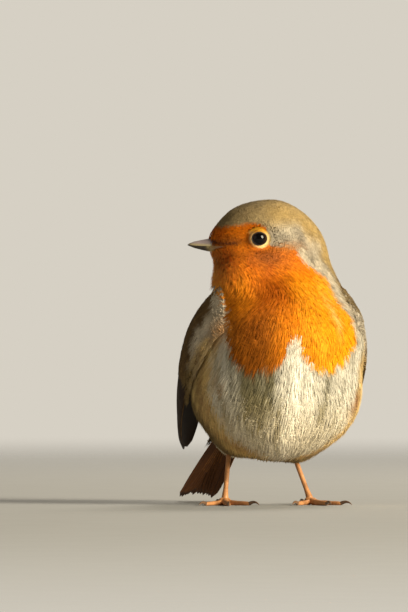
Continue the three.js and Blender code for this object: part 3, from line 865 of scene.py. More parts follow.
def vane_piece(name, guides, form, side, rows, made_of, slot, replaced, thick=0.1):
    """Rows of feathers as one piece. Each row is its first feather's root, its last one's, the same
    for the tips, the half widths, the lifts of the first and of the last, and how blunt and many."""
    places, across, along, tones = [], [], [], []
    for root_first, root_last, tip_first, tip_last, halves, lift_first, lift_last, blunt, count in rows:
        start, end = row_of(root_first, root_last, count), row_of(tip_first, tip_last, count)
        end = end + rng.normal(0, 0.006, end.shape)
        half = row_of(halves[:1], halves[1:], count)[:, 0]
        lift = row_of(lift_first, lift_last, count)
        made = vane_places(guides, form, side, start, end, half, lift, blunt, thick)
        places.append(made[0])
        across.append(made[1])
        along.append(made[2])
        tones.append(np.repeat(np.exp(rng.normal(0, 0.07, (count, 1))), len(form.share), 1))
    places, across, along, tones = (np.concatenate(part) for part in (places, across, along, tones))
    columns = math.ceil(math.sqrt(len(places)))
    cell = np.stack([np.arange(len(places)) % columns, np.arange(len(places)) // columns], -1)[:, None]
    inside = np.stack([across * 0.45 + 0.5, along * 0.92 + 0.04], -1)
    return finished_mesh(
        name, form, places, made_of, slot, replaced,
        across=across, along=along, tone=tones, patches=(cell + inside) / columns,
    )


# Each row's first feather lies nearest the wing's lower edge.
PRIMARIES = (
    ((0.2, 0.06), (0.26, 0.3), (0.955, 0.1), (1.0, 0.3), (1.6, 2.1), (-0.7, -0.6), (-0.65, -0.5), 7, 3),
    ((0.26, 0.3), (0.3, 0.42), (0.985, 0.36), (0.86, 0.6), (2.2, 2.5), (-0.62, -0.45), (-0.5, -0.25), 7, 6),
)
SECONDARIES = (
    ((0.2, 0.34), (0.24, 0.62), (0.82, 0.44), (0.77, 0.68), (2.6, 2.9), (-0.42, -0.28), (-0.3, -0.12), 7, 6),
    ((0.2, 0.7), (0.2, 0.9), (0.83, 0.62), (0.66, 0.88), (3.4, 3.1), (-0.28, -0.08), (-0.15, 0.12), 5, 3),
)
PRIMARY_COVERTS = (
    ((0.16, 0.04), (0.18, 0.2), (0.52, 0.04), (0.44, 0.2), (1.3, 1.5), (-0.45, -0.3), (-0.3, -0.1), 5, 6),
    ((0.06, 0.05), (0.08, 0.14), (0.38, 0.05), (0.28, 0.16), (1.5, 1.5), (-0.3, -0.1), (-0.1, 0.1), 4, 3),
)
COVERTS = (
    ((0.16, 0.16), (0.2, 0.95), (0.4, 0.2), (0.46, 0.93), (2.2, 2.6), (-0.3, 0.0), (-0.15, 0.2), 4, 10),
    ((0.08, 0.08), (0.1, 0.97), (0.27, 0.1), (0.31, 0.95), (2.0, 2.3), (-0.2, 0.12), (0.0, 0.3), 3, 10),
)


def wing_core(side):
    """The solid of the folded wing under its feathers."""
    form = Form(36, 36)
    around = form.turn * side
    half_share = np.sin(math.pi * form.share) ** 0.3
    t = 0.5 + 0.46 * np.cos(around) * half_share
    thickness = 1.9 + (0.4 - 1.9) * form.share
    height = -0.75 - thickness / 2 + thickness / 2 * np.sin(around) * half_share
    u = 0.015 + 0.96 * form.share
    return form, sheet_place(WING, u, t, height, side)


for side, word in SIDES:
    form, places = wing_core(side)
    flat = np.zeros((1, len(places)))
    finished_mesh(
        f"wing_{word}_under", form, places[None], FLIGHT, "flight_feathers",
        across=flat + 0.3, along=form.share[None], tone=flat + 0.8,
    )
    for part, rows, form, made_of, slot, replaced in (
        ("primaries", PRIMARIES, QUILL, FLIGHT, "flight_feathers", [f"wing_{word}_primaries"]),
        ("secondaries", SECONDARIES, QUILL, FLIGHT, "flight_feathers", [f"wing_{word}_secondaries"]),
        ("primary_coverts", PRIMARY_COVERTS, QUILL, FLIGHT, "wing_coverts", []),
        ("coverts", COVERTS, SCALE, COVERT, "wing_coverts", [f"wing_{word}_coverts"]),
    ):
        vane_piece(f"feathers_{word}_{part}", WING, form, side, rows, made_of, slot, replaced)

# The tail's first feathers lie at its right edge, and the middle ones on top.
TAIL_ROWS = (
    ((0.02, 0.2), (0.02, 0.44), (0.985, 0.12), (0.985, 0.45),
     (2.1, 2.4), (-0.85, -0.75), (-0.1, -0.18), 9, 6),
    ((0.02, 0.8), (0.02, 0.56), (0.985, 0.88), (0.985, 0.55),
     (2.1, 2.4), (-0.85, -0.75), (-0.14, -0.12), 9, 6),
)
vane_piece("tail_feathers", TAIL, QUILL, -1, TAIL_ROWS, TAIL_VANE, "tail_feathers", ["tail"], 0.14)

# ---------------------------------------------------------------- bill and mouth


def bill_half(form, name, slot, upper, made_of):
    """One half of the bill. Its rows run from its root to its tip, and it is flat at the gape."""
    x = BILL_X[-1] + (BILL_X[0] - BILL_X[-1]) * (1 - (1 - form.share) ** 1.3)
    shape = (BILL_HALF, BILL_GAPE, BILL_ABOVE, BILL_BELOW)
    half, gape, above, below = (np.interp(x, BILL_X, measure) for measure in shape)
    aside, rise = np.cos(form.turn), np.sin(form.turn)
    if upper:
        height = np.where(rise > 0, above * rise**1.2, 0.1 * rise * np.minimum(half, 1) * 2)
        width = half * np.sign(aside) * np.abs(aside) ** 0.8
        nostril = soft_spot((x, -18.9, 0.75), (height, 1.25, 0.42))
        width = width * (1 - 0.3 * nostril)
    else:
        height = np.where(rise > 0, 0.04 * rise, below * rise)
        width = half * np.sign(aside) * np.abs(aside) ** 0.75 * 0.95
    places = np.stack([x, HEAD_PLANE_Y - width, gape + height + (0.03 if upper else -0.07)], -1)
    edge = smoothstep(np.abs(height), 0.15, 0.9)
    base = smoothstep(x, -24, -18) if upper else smoothstep(x, -22.2, -20)
    # Painted light and shade: the upper half is paler than its grey-brown horn, palest low along its sides as
    # a painted highlight and purple-grey on top as a painted reflection of the sky; the lower half's dark
    # front and underside are partly its own dark horn and partly painted shade, and its base is pale.
    if upper:
        colour = mix(mix(srgb(150, 138, 108), srgb(186, 172, 134), base), srgb(136, 124, 128), edge)
        colour = mix(srgb(54, 44, 40), colour, smoothstep(x, -27, -25.2))
        colour = mix(colour, srgb(26, 20, 18), 0.9 * nostril)
    else:
        colour = mix(srgb(36, 28, 20), srgb(176, 156, 106), base)
        colour = mix(colour, srgb(48, 38, 28), 0.7 * edge * (1 - base))
    finished_mesh(name, form, places[None], made_of, slot, [name], plumage=colour[None])


bill_form = Form(40, 56)
bill_half(bill_form, "bill_upper", "bill_upper_horn", True, BILL_UPPER)
bill_half(bill_form, "bill_lower", "bill_lower_horn", False, BILL_LOWER)


def on_coat(points, height):
    """Moves points square out to a height over the plumage."""
    for _ in range(3):
        normal, growth = normals_of(outside_body, points)
        gap = (height - outside_body(points)) / growth
        points = points + normal * np.clip(gap, -SETTLE_STEP, SETTLE_STEP)[:, None]
    return points, normal


def mouth_corner(side):
    """The pale flange of the gape, from the lower bill's side back over the cheek."""
    form = Form(12, 30)
    x = GAPE_FRONT + (GAPE_BACK - GAPE_FRONT) * form.row_shares()
    aside = np.interp(x, (-20.6, -20, -19, -17, -12), (1.9, 2.6, 3.9, 5.8, 9))
    line, normal = on_coat(np.stack([x, HEAD_PLANE_Y + side * aside, 75 + 0 * x], -1), -0.12)
    line[:, 0], line[:, 2] = x, 74.42 + 0.5 * form.row_shares() ** 0.7
    thick = 0.6 * (1 - form.row_shares()) ** 0.9 + 0.03
    thick[0] = 0.3
    return form, swept(form, line, normal, thick, thick * 0.7)


for side, word in SIDES:
    gape_form, gape_at = mouth_corner(side)
    finished_mesh(
        f"gape_{word}", gape_form, gape_at[None], BILL_LOWER, "bill_lower_horn",
        plumage=mix(srgb(166, 144, 96), srgb(122, 62, 18), gape_form.share**0.5)[None],
    )

# ---------------------------------------------------------------- eyes


def eye_axes(side):
    """The way an eye looks, and the ways along and up its opening."""
    look = unit(np.array([-0.02, side, -0.03]))
    back = unit(np.cross(np.array([0.0, 0.0, 1.0]), look))
    return look, back, np.cross(look, back)


class Ring:
    """A closed ring's corners and faces: turn round the ring, roll round its section."""

    def __init__(self, around, section):
        ring = bmesh.new()
        made = bmesh.ops.create_circle(ring, segments=section, radius=1)
        spun = made["verts"]
        bmesh.ops.rotate(ring, verts=spun, cent=(0, 0, 0), matrix=Matrix.Rotation(math.pi / 2, 3, "X"))
        bmesh.ops.translate(ring, verts=spun, vec=(3, 0, 0))
        bmesh.ops.spin(
            ring, geom=ring.verts[:] + ring.edges[:], cent=(0, 0, 0), axis=(0, 0, 1), dvec=(0, 0, 0),
            angle=math.tau, steps=around, use_merge=True, use_duplicate=False,
        )
        bmesh.ops.recalc_face_normals(ring, faces=ring.faces[:])
        ring.verts.index_update()
        places = np.array([v.co for v in ring.verts])
        self.turn = np.arctan2(places[:, 1], places[:, 0])
        self.roll = np.arctan2(places[:, 2], np.hypot(places[:, 0], places[:, 1]) - 3)
        self.faces = faces_in_order(ring)
        ring.free()


LID = Ring(72, 12)
for side, word in SIDES:
    look, back, up = eye_axes(side)
    globe = Form(64, 48)
    round_it = np.sin(math.pi * globe.share)
    ball = [round_it * np.cos(globe.turn), round_it * np.sin(globe.turn), -np.cos(math.pi * globe.share)]
    ball = np.stack(ball, -1)
    # The cornea stands out in front, and the back is drawn in, out of the coat's way.
    bulge = 0.22 * smoothstep(ball[:, 2], 0.7, 1.0) - 0.9 * (1 - smoothstep(ball[:, 2], 0.25, 0.66))
    places = EYE_CENTRES[side] + (ball * (EYE_RADIUS - 0.1 + bulge)[:, None]) @ np.stack([back, up, look])
    finished_mesh(
        f"eye_{word}", globe, places[None], EYE, "eye", [f"eye_{word}"],
        from_axis=(round_it * EYE_RADIUS)[None] + 5 * (ball[None, :, 2] < 0),
    )
    flat = np.stack([np.cos(LID.turn), np.sin(LID.turn)], -1) * (np.array(EYE_OPENING) + 0.1)
    rise = np.sqrt(EYE_RADIUS**2 - (flat**2).sum(1))
    flat = flat + unit(flat) * (np.cos(LID.roll) * 0.17)[:, None]
    rise = rise + 0.16 * np.sin(LID.roll)
    places = EYE_CENTRES[side] + flat[:, :1] * back + flat[:, 1:] * up + rise[:, None] * look
    finished_mesh(f"eyelid_{word}", LID, places[None], LID_SKIN, "eye")

# ---------------------------------------------------------------- legs

PALM = 1.75  # radius of the middle of the foot
# Each toe's half thickness at its root and tip, and how many pads it has.
TOE_THICK = {
    "hind": (0.92, 0.72, 2), "inner": (0.88, 0.64, 2), "middle": (0.96, 0.68, 3), "outer": (0.86, 0.62, 3)
}


def straight(start, end, rows):
    share = np.linspace(0, 1, rows + 1)[:, None]
    return np.asarray(start, float) * (1 - share) + np.asarray(end, float) * share


def tube(form, line, ups, thick, flat=1.0):
    thick = np.asarray(thick)
    rounded = thick * np.sqrt(np.clip(1 - np.abs(2 * form.row_shares() - 1) ** 24, 0, 1))
    return swept(form, line, np.broadcast_to(ups, line.shape), rounded, rounded * flat)


for word, (side, spot, heel, foot_swing) in FEET.items():
    form = Form(20, 64)
    share = form.row_shares()
    joint = np.array([spot[0], spot[1], 1.7])
    line = straight(joint - np.array([0, 0, 0.4]), heel, form.rows)
    thick = 0.7 + 0.42 * soft_spot((share, 0, 0.1)) + 0.42 * soft_spot((share, 1, 0.12))
    thick = thick * (1 + 0.014 * np.cos(share * math.tau * 8))
    skins = [tube(form, line, (0, -1, 0), thick, 1.12)]
    palm = straight(*(joint + np.array([x, 0, -0.55]) for x in (-PALM * 0.95, PALM * 0.95)), form.rows)
    skins.append(tube(form, palm, (0, 0, 1), 1.0 + 0.25 * np.sin(math.pi * share), 0.85))
    claws = []
    for toe, (length, swing, claw) in TOES.items():
        heading = math.radians(-90 + side * (swing + side * foot_swing))
        ahead = np.array([math.cos(heading), math.sin(heading), 0])
        thick_root, thick_tip, pads = TOE_THICK[toe]
        far = (PALM + 0.3 + length) * share
        thick = thick_root + (thick_tip - thick_root) * share
        thick = thick * (1 + 0.1 * np.abs(np.sin(share * math.pi * pads)) - 0.03)
        thick = thick * (1 + 0.025 * np.sin(share * math.tau * length * 1.1))
        line = joint * np.array([1, 1, 0]) + ahead * far[:, None]
        line[:, 2] = np.interp(share, (0, 0.25, 1), (1.25, thick_root - 0.2, thick_tip - 0.16))
        skins.append(tube(form, line, (0, 0, 1), thick, 0.95))
        claw_form = Form(12, 20)
        step = claw_form.row_shares()
        root = line[-1] - ahead * 0.55
        arc = root + ahead * (step * (claw + 0.45))[:, None]
        arc[:, 2] = thick_tip - 0.12 + (0.32 + 0.05 * claw) * np.sin(step * math.pi * 0.62) * 1.5
        arc[:, 2] = arc[:, 2] - (arc[-1, 2] - 0.14) * step**3
        taper = 0.47 * (1 - step) ** 0.75 + 0.05
        claws.append(tube(claw_form, arc, (0, 0, 1), taper, 1.15))
    skins = np.stack(skins)
    skins[..., 2] = np.maximum(skins[..., 2], 0.03)
    nodes = [f"shank_{word}"] + [f"toe_{word}_{toe}" for toe in TOES]
    leg = finished_mesh(f"leg_{word}", form, skins, LEG_SKIN, "leg_skin", nodes)
    remesh = leg.modifiers.new("One skin", "REMESH")
    remesh.mode, remesh.voxel_size, remesh.use_smooth_shade = "VOXEL", LEG_VOXEL, True
    soften = leg.modifiers.new("Soft joints", "SMOOTH")
    soften.iterations = 4
    nodes = [f"claw_{word}_{toe}" for toe in TOES]
    finished_mesh(f"claws_{word}", claw_form, np.stack(claws), CLAW_HORN, "claw_horn", nodes)

# ---------------------------------------------------------------- coat


def lie(points, normals):
    """The way the feathers point: back from the bill over the head, down and back over the body."""
    away = unit(points - BILL_ROOT)
    home = np.broadcast_to(TAILWARD, points.shape)
    rear = smoothstep(points[:, 0], -1, 11)
    head = smoothstep(points[:, 2], 58, 74) * (1 - 0.8 * rear)
    flow = mix(home, away, head)
    flow[:, 2] -= 0.55 * rear * smoothstep(points[:, 2], 60, 74)
    swirl = 0.16 * ripple(points, 6, 11) + 0.06 * ripple(points, 2, 12)
    flow = flow + np.cross(normals, flow) * swirl[:, None]
    for centre in EYE_CENTRES.values():
        out = (points - centre) * np.array([1.0, 0.0, 1.0])
        near = np.linalg.norm(points - centre, axis=1) < 9
        push = 1.3 * soft_spot((np.linalg.norm(out, axis=1), 0, 3.3)) * near
        flow = flow + unit(out) * push[:, None]
    flow = flow - normals * (flow * normals).sum(1, keepdims=True)
    return unit(flow)


def tuft_length(points):
    z = points[:, 2]
    length = 5.8 + 2.2 * (1 - smoothstep(z, 24, 44))
    length = length + (3.3 - length) * smoothstep(z, 64, 76)
    length = length + (1.7 - length) * faceness(points)
    near_eye = 1 - smoothstep(eye_distance(points), 2.6, 6)
    length = length + (0.85 - length) * near_eye
    rump = smoothstep(points[:, 1], 22, 34)
    return length + 2.0 * rump


def fluffed(points):
    """How far the tips stand out past the body's surface, most of all on the chin and the nape."""
    body = 1 - smoothstep(points[..., 2], 60, 72)
    return 0.12 + 0.28 * body + chin_share(points) + 0.8 * soft_spot((distance(points, NAPE_SPOT), 0, 7))


def tufts_wanted(points):
    """How many tufts are rooted in each square millimetre, with more where they have most to cover."""
    more = 1 + 0.5 * chin_share(points) + 0.35 * (eye_distance(points) < 9) + 0.25 * (points[:, 2] > 80)
    return TUFTS / (tuft_length(points) + 1.2) * more


def scattered(wanted):
    """Roots spread over the skin, as many as wanted to each square millimetre."""
    faces = [f for f in skin_form.faces if len(f) == 4]
    corners = skin_at[np.array(faces)]
    cross = np.cross(corners[:, 2] - corners[:, 0], corners[:, 3] - corners[:, 1])
    area = np.linalg.norm(cross, axis=1) / 2
    want = np.cumsum(area * wanted(corners.mean(1))) + rng.uniform()
    counts = np.diff(np.floor(np.concatenate([[0], want]))).astype(int)
    face = np.repeat(np.arange(len(faces)), counts)
    r, s = rng.uniform(size=(2, len(face), 1))
    a, b, c, d = (corners[face, i] for i in range(4))
    return a * (1 - r) * (1 - s) + b * r * (1 - s) + c * r * s + d * (1 - r) * s


def patch_places(points):
    """Where points lie on the skin's own unwrap: round it, and up it."""
    round_it = np.arctan2(points[:, 1] - BELLY[1], points[:, 0] - BELLY[0]) / (2 * np.pi) + 0.5
    up_it = (points[:, 2] - 10) / 80
    return np.stack([round_it, up_it], -1)


STRAND = Form(3, 2)
STRAND_RIDGE = np.argmax(np.cos(STRAND.turn) - 9 * np.abs(STRAND.share - 0.5))  # its upper middle corner
STRANDS = 8  # in each tuft
TUFTS = 18.0  # for each square millimetre and each millimetre of a tuft's length
PATCH = 0.003  # the width of a tuft's patch on the unwrap


def make_coat(name, slot, guides, mask):
    """Tufts of thin pointed barbs, fanned out from each root, as one piece."""
    roots, middles, tips, asides, ups, length, colour, under = (g[mask] for g in guides)
    count = len(roots)
    fan = np.linspace(-1, 1, STRANDS)[None] + rng.normal(0, 0.2, (count, STRANDS))
    spread = (0.17 * length)[:, None] * fan
    short = 1 - 0.22 * fan**2 - rng.uniform(0, 0.3, fan.shape)
    base = roots[:, None] + asides[:, None] * (0.3 * spread)[..., None]
    bend = middles[:, None] + asides[:, None] * (0.75 * spread)[..., None]
    bend = bend + ups[:, None] * (rng.normal(0, 0.01, fan.shape) * length[:, None])[..., None]
    end = tips[:, None] + asides[:, None] * spread[..., None]
    end = end + ups[:, None] * (rng.normal(0, 0.014, fan.shape) * length[:, None])[..., None]
    end = base + (end - base) * short[..., None]
    base, bend, end = (x.reshape(-1, 3) for x in (base, bend, end))
    wide = np.repeat((0.055 + 0.021 * length) * rng.uniform(0.8, 1.2, count), STRANDS)[:, None]
    aside, up = np.repeat(asides, STRANDS, 0), np.repeat(ups, STRANDS, 0)
    corners = []
    for share, turn in zip(STRAND.share, STRAND.turn + math.pi / 2):
        if share < 0.25:
            corners.append(base)
        elif share > 0.75:
            corners.append(end)
        else:
            corners.append(bend + aside * wide * math.cos(turn) + up * wide * 0.16 * math.sin(turn))
    places = np.stack(corners, 1)
    along = np.tile(STRAND.share, (len(base), 1))
    bright = np.exp(rng.normal(0, 0.09, (count, STRANDS, 1)) + rng.normal(0, 0.07, (count, 1, 1)))
    painted_on = np.clip(colour[:, None] * bright, 0, 0.95).reshape(-1, 1, 3)
    hidden = np.repeat(under, STRANDS, 0)[:, None]
    shape = (len(base), len(STRAND.share), 3)
    patch = np.repeat(patch_places(roots), STRANDS, 0)
    low, high = patch.min(0), patch.max(0)
    patch = 0.01 + 0.98 * (patch - low) / (high - low)
    local = np.stack([np.cos(STRAND.turn) * 0.3 * np.sin(np.pi * STRAND.share), STRAND.share], -1) * PATCH
    finished_mesh(
        name, STRAND, places, PLUMAGE, slot, ridge=STRAND_RIDGE,
        plumage=np.broadcast_to(painted_on, shape), roots=np.broadcast_to(hidden, shape),
        along=along, patches=patch[:, None] + local[None],
    )


EYE_BARE_ROOTS, EYE_BARE = 3.2, 2.15  # no tuft of the body is rooted or reaches nearer the eye's axis


def body_guides():
    """The middle line of every tuft on the body, with its colour."""
    roots = scattered(tufts_wanted)
    roots, up = settle(roots, np.zeros(len(roots)), outside_skin)
    length = tuft_length(roots) * rng.uniform(0.85, 1.15, len(roots))
    depth = coat_depth(roots)
    ahead = lie(roots, up)
    sunk = -depth * rng.uniform(0.08, 0.22, len(roots))
    middles, up_middle = settle(roots + ahead * (0.42 * length)[:, None], sunk)
    ahead_middle = lie(middles, up_middle)
    stand = fluffed(roots) + depth * rng.normal(0.0, 0.05, len(roots))
    tips, up_tip = settle(middles + ahead_middle * (0.58 * length)[:, None], stand)

    # Tufts far under a wing are left out, and those by its edge are lifted onto it.
    u, t, over = wing_over(roots, up).T
    buried = (over > depth * 0.9) & (u > 0.03) & (t > 0.08) & (t < 0.95)
    for points, normals in ((middles, up_middle), (tips, up_tip)):
        over = wing_over(points, normals, 3.0)[:, 2]
        lifted = np.where(over > -2.5, over + 0.35, 0)
        buried |= lifted > 2.6
        points += normals * lifted[:, None]

    open_eye = eye_distance(roots) < EYE_BARE_ROOTS
    for points in (middles, tips):
        open_eye |= eye_distance(points) < EYE_BARE
    mouth = (roots[:, 0] < GAPE_BACK - 1) & (np.abs(roots[:, 2] - 74.7) < 0.4)
    keep = ~(buried | open_eye | mouth)

    shown_at = middles * 0.35 + tips * 0.65 + ahead_middle * rng.normal(0, 0.5, (len(roots), 1))
    aside = unit(np.cross(up_middle, ahead_middle))
    colours = plumage_colour(shown_at), under_colour(shown_at)
    return tuple(g[keep] for g in (roots, middles, tips, aside, up_middle, length, *colours))


def sheet_guides(sheet, side, spans, many, lengths, heights, colour_of):
    """Tufts rooted on a wing or the tail, which lie along it. Spans are the first and last u and t,
    heights those of the roots, the middles and the tips."""
    (u_low, u_high), (t_low, t_high) = spans
    u, t = np.meshgrid(*(np.linspace(*span, count) for span, count in zip(spans, many)), indexing="ij")
    u = u.ravel() + rng.normal(0, 0.25 * (u_high - u_low) / many[0], u.size)
    t = t.ravel() + rng.normal(0, 0.3 * (t_high - t_low) / many[1], t.size)
    length = rng.uniform(*lengths, u.size)
    far = length / np.linalg.norm(on_guides(sheet, u * 0 + 0.5, t) - on_guides(sheet, u * 0, t), axis=1) * 0.5
    drift, rise = rng.normal(0, 0.02, (2, u.size))
    facing = np.sign(heights[2] - heights[0])

    def spot(share, height):
        return sheet_place(sheet, u + far * share, t + drift * share, height + 2.5 * rise * share, side)

    roots, middles, tips = (spot(share, height) for share, height in zip((0, 0.42, 1), heights))
    up = mirrored(sheet_up(sheet, u, t), side) * facing
    if sheet is WING:
        up = unit(mix(normals_of(outside_body, middles)[0], up, smoothstep(u, 0.1, 0.28)))
    aside = unit(np.cross(up, tips - roots))
    colour = colour_of(tips, t)
    # The roots take a darker copy, partly the bases' duller colour and partly painted shade under the tufts.
    return roots, middles, tips, aside, up, length, colour, colour * 0.8


# Painted shade: the wing's olive is painted darker than the back's, for the shade the folded wing lies in.
WING_PAINTED_SHADE = np.array([0.72, 0.62, 0.58])  # what the wing's olive is of the back's


def shoulder_colour(points, t):
    """Olive over the wing's shoulder, darker than the back's as painted shade, ash in front with painted
    shade in the crease before the right wing, and the body's own colours at its edges.
    """
    dark = np.clip(0.6 + 0.3 * ripple(points, 3, 21) + 0.25 * ripple(points, 1.2, 22), 0, 1.2)
    olive = mix(OLIVE, OLIVE_DARK, dark) * WING_PAINTED_SHADE
    ash = mix(ASH, ASH_DARK, np.clip(0.15 + 0.4 * ripple(points, 2, 23), 0, 1))
    edge = -6.5 + 0.35 * (60 - points[:, 2]) + 1.5 * ripple(points, 3, 24)
    colour = mix(ash, olive, smoothstep(points[:, 1] - edge, -2, 3))
    # Painted shade: the ash is darkened in the crease in front of the right wing, where the breast shades it.
    colour = mix(colour, ASH_DARK * 0.8, 0.85 * (1 - smoothstep(points[:, 1], -11, -6)) * (points[:, 0] < 0))
    colour = mix(colour, OCHRE, 0.75 * ochre_share(points))
    low_edge = (1 - smoothstep(t, 0.02, 0.14)) * (1 - smoothstep(points[:, 2], 50, 56))
    as_body = np.maximum(1 - smoothstep(points[:, 1], -14.5, -12), 0.8 * low_edge)
    return mix(colour, plumage_colour(points), as_body)


def tail_top_colour(points, t):
    return mix(OLIVE, OLIVE_DARK, np.clip(0.3 + 0.3 * ripple(points, 2, 25), 0, 1))


def tail_under_colour(points, t):
    return mix(UNDERTAIL, BUFF, np.clip(0.4 + 0.3 * ripple(points, 2, 26), 0, 1))


def on_wing(side):
    made = sheet_guides(
        WING, side, ((-0.03, 0.4), (-0.06, 1.04)), (58, 50), (3.6, 5.2), (-0.6, 0.15, 0.36), shoulder_colour
    )
    points = made[0]
    keep = (outside_body(made[1]) > -0.4) & (points[:, 1] < 5 + 1.5 * ripple(points, 3, 27))
    return tuple(g[keep] for g in made)


def on_tail(spans, heights, colour_of):
    return sheet_guides(TAIL, -1, spans, (26, 26), (5.5, 8.0), heights, colour_of)


LASH_RINGS = (88, 88, 88, 88, 90, 90, 92)  # tufts in each ring, from the innermost out
LASH_STEP = 0.21  # between two rings


def lash_guides(side):
    """Rings of very short feathers round an eye, all pointing away from it."""
    look, back, above = eye_axes(side)
    turns, out = [], []
    for ring, count in enumerate(LASH_RINGS):
        turns.append(np.linspace(0, math.tau, count, endpoint=False) + 0.03 * ring)
        out.append(np.full(count, 0.2 + LASH_STEP * ring))
    turn, out = np.concatenate(turns), np.concatenate(out)
    turn = turn + rng.normal(0, 0.02, turn.size)
    ray = np.cos(turn)[:, None] * back + np.sin(turn)[:, None] * above
    rim = np.stack([np.cos(turn) * EYE_OPENING[0], np.sin(turn) * EYE_OPENING[1]], -1)
    rim = EYE_CENTRES[side] + rim[:, :1] * back + rim[:, 1:] * above + look * 2.5
    length = 0.8 + 0.25 * out + rng.uniform(-0.1, 0.1, turn.size)

    def spot(far, height, on_rim_to):
        free = rim + ray * far[:, None] + look * (height - 0.3 * far)[:, None]
        down, up = settle(rim + ray * far[:, None], height)
        return mix(free, down, smoothstep(far, 0.3, on_rim_to)), up

    roots, up = spot(out - 0.25, 0 * turn - 0.35, 1.2)
    middles, up = spot(out + 0.22 * length, 0.04 - 0.02 * out, 1.5)
    tips, up = spot(out + length, rng.normal(0.05, 0.02, turn.size) - 0.07 * out, 1.7)
    aside = unit(np.cross(up, tips - roots))
    colour = plumage_colour(middles)
    # The roots take a darker copy, partly the bases' duller colour and partly painted shade under the tufts.
    return roots, middles, tips, aside, up, length, colour, colour * 0.75


guides = [
    body_guides(),
    on_wing(-1),
    on_wing(1),
    on_tail(((0.12, 0.44), (0.03, 0.97)), (-0.6, 0.3, 0.2), tail_top_colour),
    on_tail(((0.08, 0.34), (0.12, 0.88)), (-0.6, -1.9, -1.6), tail_under_colour),
    lash_guides(-1),
    lash_guides(1),
]
guides = tuple(np.concatenate(part) for part in zip(*guides))
root = guides[0]
# The coat is parted by the height of its roots and how far round the body they are.
HEAD_FROM, CROWN_FROM, BREAST_FROM, BELLY_TO = 69, 81, 48, 36
BACK_FROM = 105  # degrees
round_body = np.degrees(np.arctan2(root[:, 0], -root[:, 1]))
on_head, low, left = root[:, 2] > HEAD_FROM, root[:, 2] < BELLY_TO, root[:, 0] > 0
crown, left_face = root[:, 2] > CROWN_FROM, root[:, 1] < HEAD_PLANE_Y
behind = np.abs(round_body) > BACK_FROM
between = ~on_head & ~low
breast = between & ~behind & (root[:, 2] > BREAST_FROM)

make_coat("coat_crown", "face_plumage", guides, crown)
for part, slot, mask, on_left in (
    ("face", "face_plumage", on_head & ~crown, left_face),
    ("breast", "breast_plumage", breast, left),
    ("side", "body_plumage", between & ~behind & ~breast, left),
    ("belly", "body_plumage", low & ~behind, left),
    ("back", "rump_plumage", between & behind, left),
    ("rump", "rump_plumage", low & behind, left),
):
    make_coat(f"coat_{part}_left", slot, guides, mask & on_left)
    make_coat(f"coat_{part}_right", slot, guides, mask & ~on_left)

# ---------------------------------------------------------------- camera, light and floor


def place_camera():
    """The camera, level with the bird's breast and a little round to its right."""
    aside = Vector((math.cos(TURN), math.sin(TURN), 0))
    towards = Vector((math.sin(TURN), -math.cos(TURN), 0))
    centre = Vector(FRAME_ORIGIN) + aside * CAMERA_ASIDE
    lens = bpy.data.cameras.new("Camera")
    lens.sensor_width = SENSOR
    lens.lens = PIXELS_PER_MM * CAMERA_FAR / PIXELS_HIGH * SENSOR
    lens.clip_start, lens.clip_end = 0.1, 50
    camera = placed("Camera", lens)
    camera.location = (centre + towards * CAMERA_FAR + Vector((0, 0, CAMERA_HIGH))) * MM
    camera.rotation_euler = (math.pi / 2, 0, TURN)
    bpy.context.scene.camera = camera


def place_light(name, around, rise, far, size, power, colour):
    """A soft box that faces the bird from that many degrees round and above, as the camera sees it."""
    turn, lift = math.radians(around + CAMERA_TURN), math.radians(rise)
    away = Vector((math.sin(turn) * math.cos(lift), -math.cos(turn) * math.cos(lift), math.sin(lift)))
    light = bpy.data.lights.new(name, "AREA")
    light.shape, light.size, light.energy, light.color = "DISK", size, power, colour
    lamp = placed(name, light)
    lamp.location = LAMPS_AT + away * far
    lamp.rotation_euler = away.to_track_quat("Z", "Y").to_euler()
    lamp.visible_camera = False


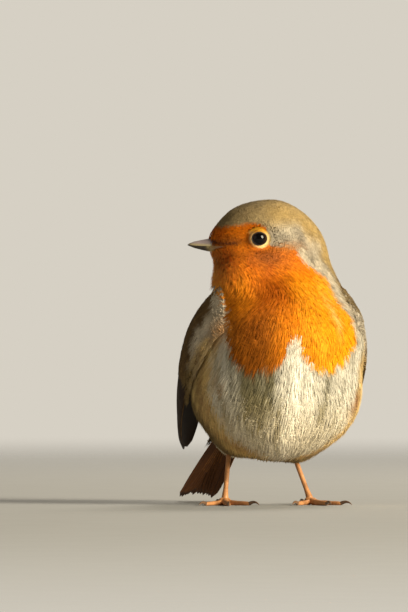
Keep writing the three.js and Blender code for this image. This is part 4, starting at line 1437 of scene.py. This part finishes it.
FLOOR_RADIUS, FLOOR_FADE = 2.0, (0.25, 1.6)  # metres
LAMPS_AT = Vector((0, 0, 0.045))  # what the lamps face, in metres


def place_floor():
    """A pale floor that fades into the light round it."""
    floor = bmesh.new()
    bmesh.ops.create_circle(floor, cap_ends=True, segments=96, radius=FLOOR_RADIUS)
    mesh = bpy.data.meshes.new("floor")
    floor.to_mesh(mesh)
    floor.free()
    piece = placed("floor", mesh)
    made = bpy.data.materials.new("Pale floor")
    made.use_nodes = True
    graph = Graph(made.node_tree)
    surface = made.node_tree.nodes["Principled BSDF"]
    grain = graph.noise(60, 3)
    graph.feed(surface, "Base Color", graph.blend(grain, srgb(166, 168, 170), srgb(174, 176, 178)))
    surface.inputs["Roughness"].default_value = 0.85
    length = graph.add("VectorMath")
    length.operation = "LENGTH"
    graph.feed(length, "#0", graph.add("TexCoord").outputs["Object"])
    graph.feed(surface, "Alpha", graph.ramp(length.outputs["Value"], *FLOOR_FADE, 1.0, 0.0))
    mesh.materials.append(made)


def place_world():
    """A pale room: what shows behind the bird, and a lower, warmer light from all round."""
    world = bpy.data.worlds.new("Pale room")
    world.use_nodes = True
    graph = Graph(world.node_tree)
    shown = world.node_tree.nodes["Background"]
    around = graph.add("Background", Color=srgb(236, 222, 194), Strength=0.13)
    graph.feed(shown, "Color", srgb(214, 208, 196))
    both = graph.add("MixShader")
    graph.feed(both, "#0", graph.add("LightPath").outputs["Is Camera Ray"])
    graph.feed(both, "#1", around.outputs[0])
    graph.feed(both, "#2", shown.outputs[0])
    graph.feed(world.node_tree.nodes["World Output"], "#0", both.outputs[0])
    bpy.context.scene.world = world


place_camera()
# Degrees round and above, metres away and across, watts and colour.
place_light("Key", 54, 18, 2.6, 1.4, 138.0, (1.0, 0.89, 0.68))
place_light("Fill", -40, 15, 1.0, 0.8, 0.8, (1.0, 0.94, 0.84))
place_light("Rim", 160, 45, 0.9, 0.4, 4.0, (1.0, 0.9, 0.74))
place_floor()
place_world()
bpy.context.scene.view_settings.view_transform = "Standard"
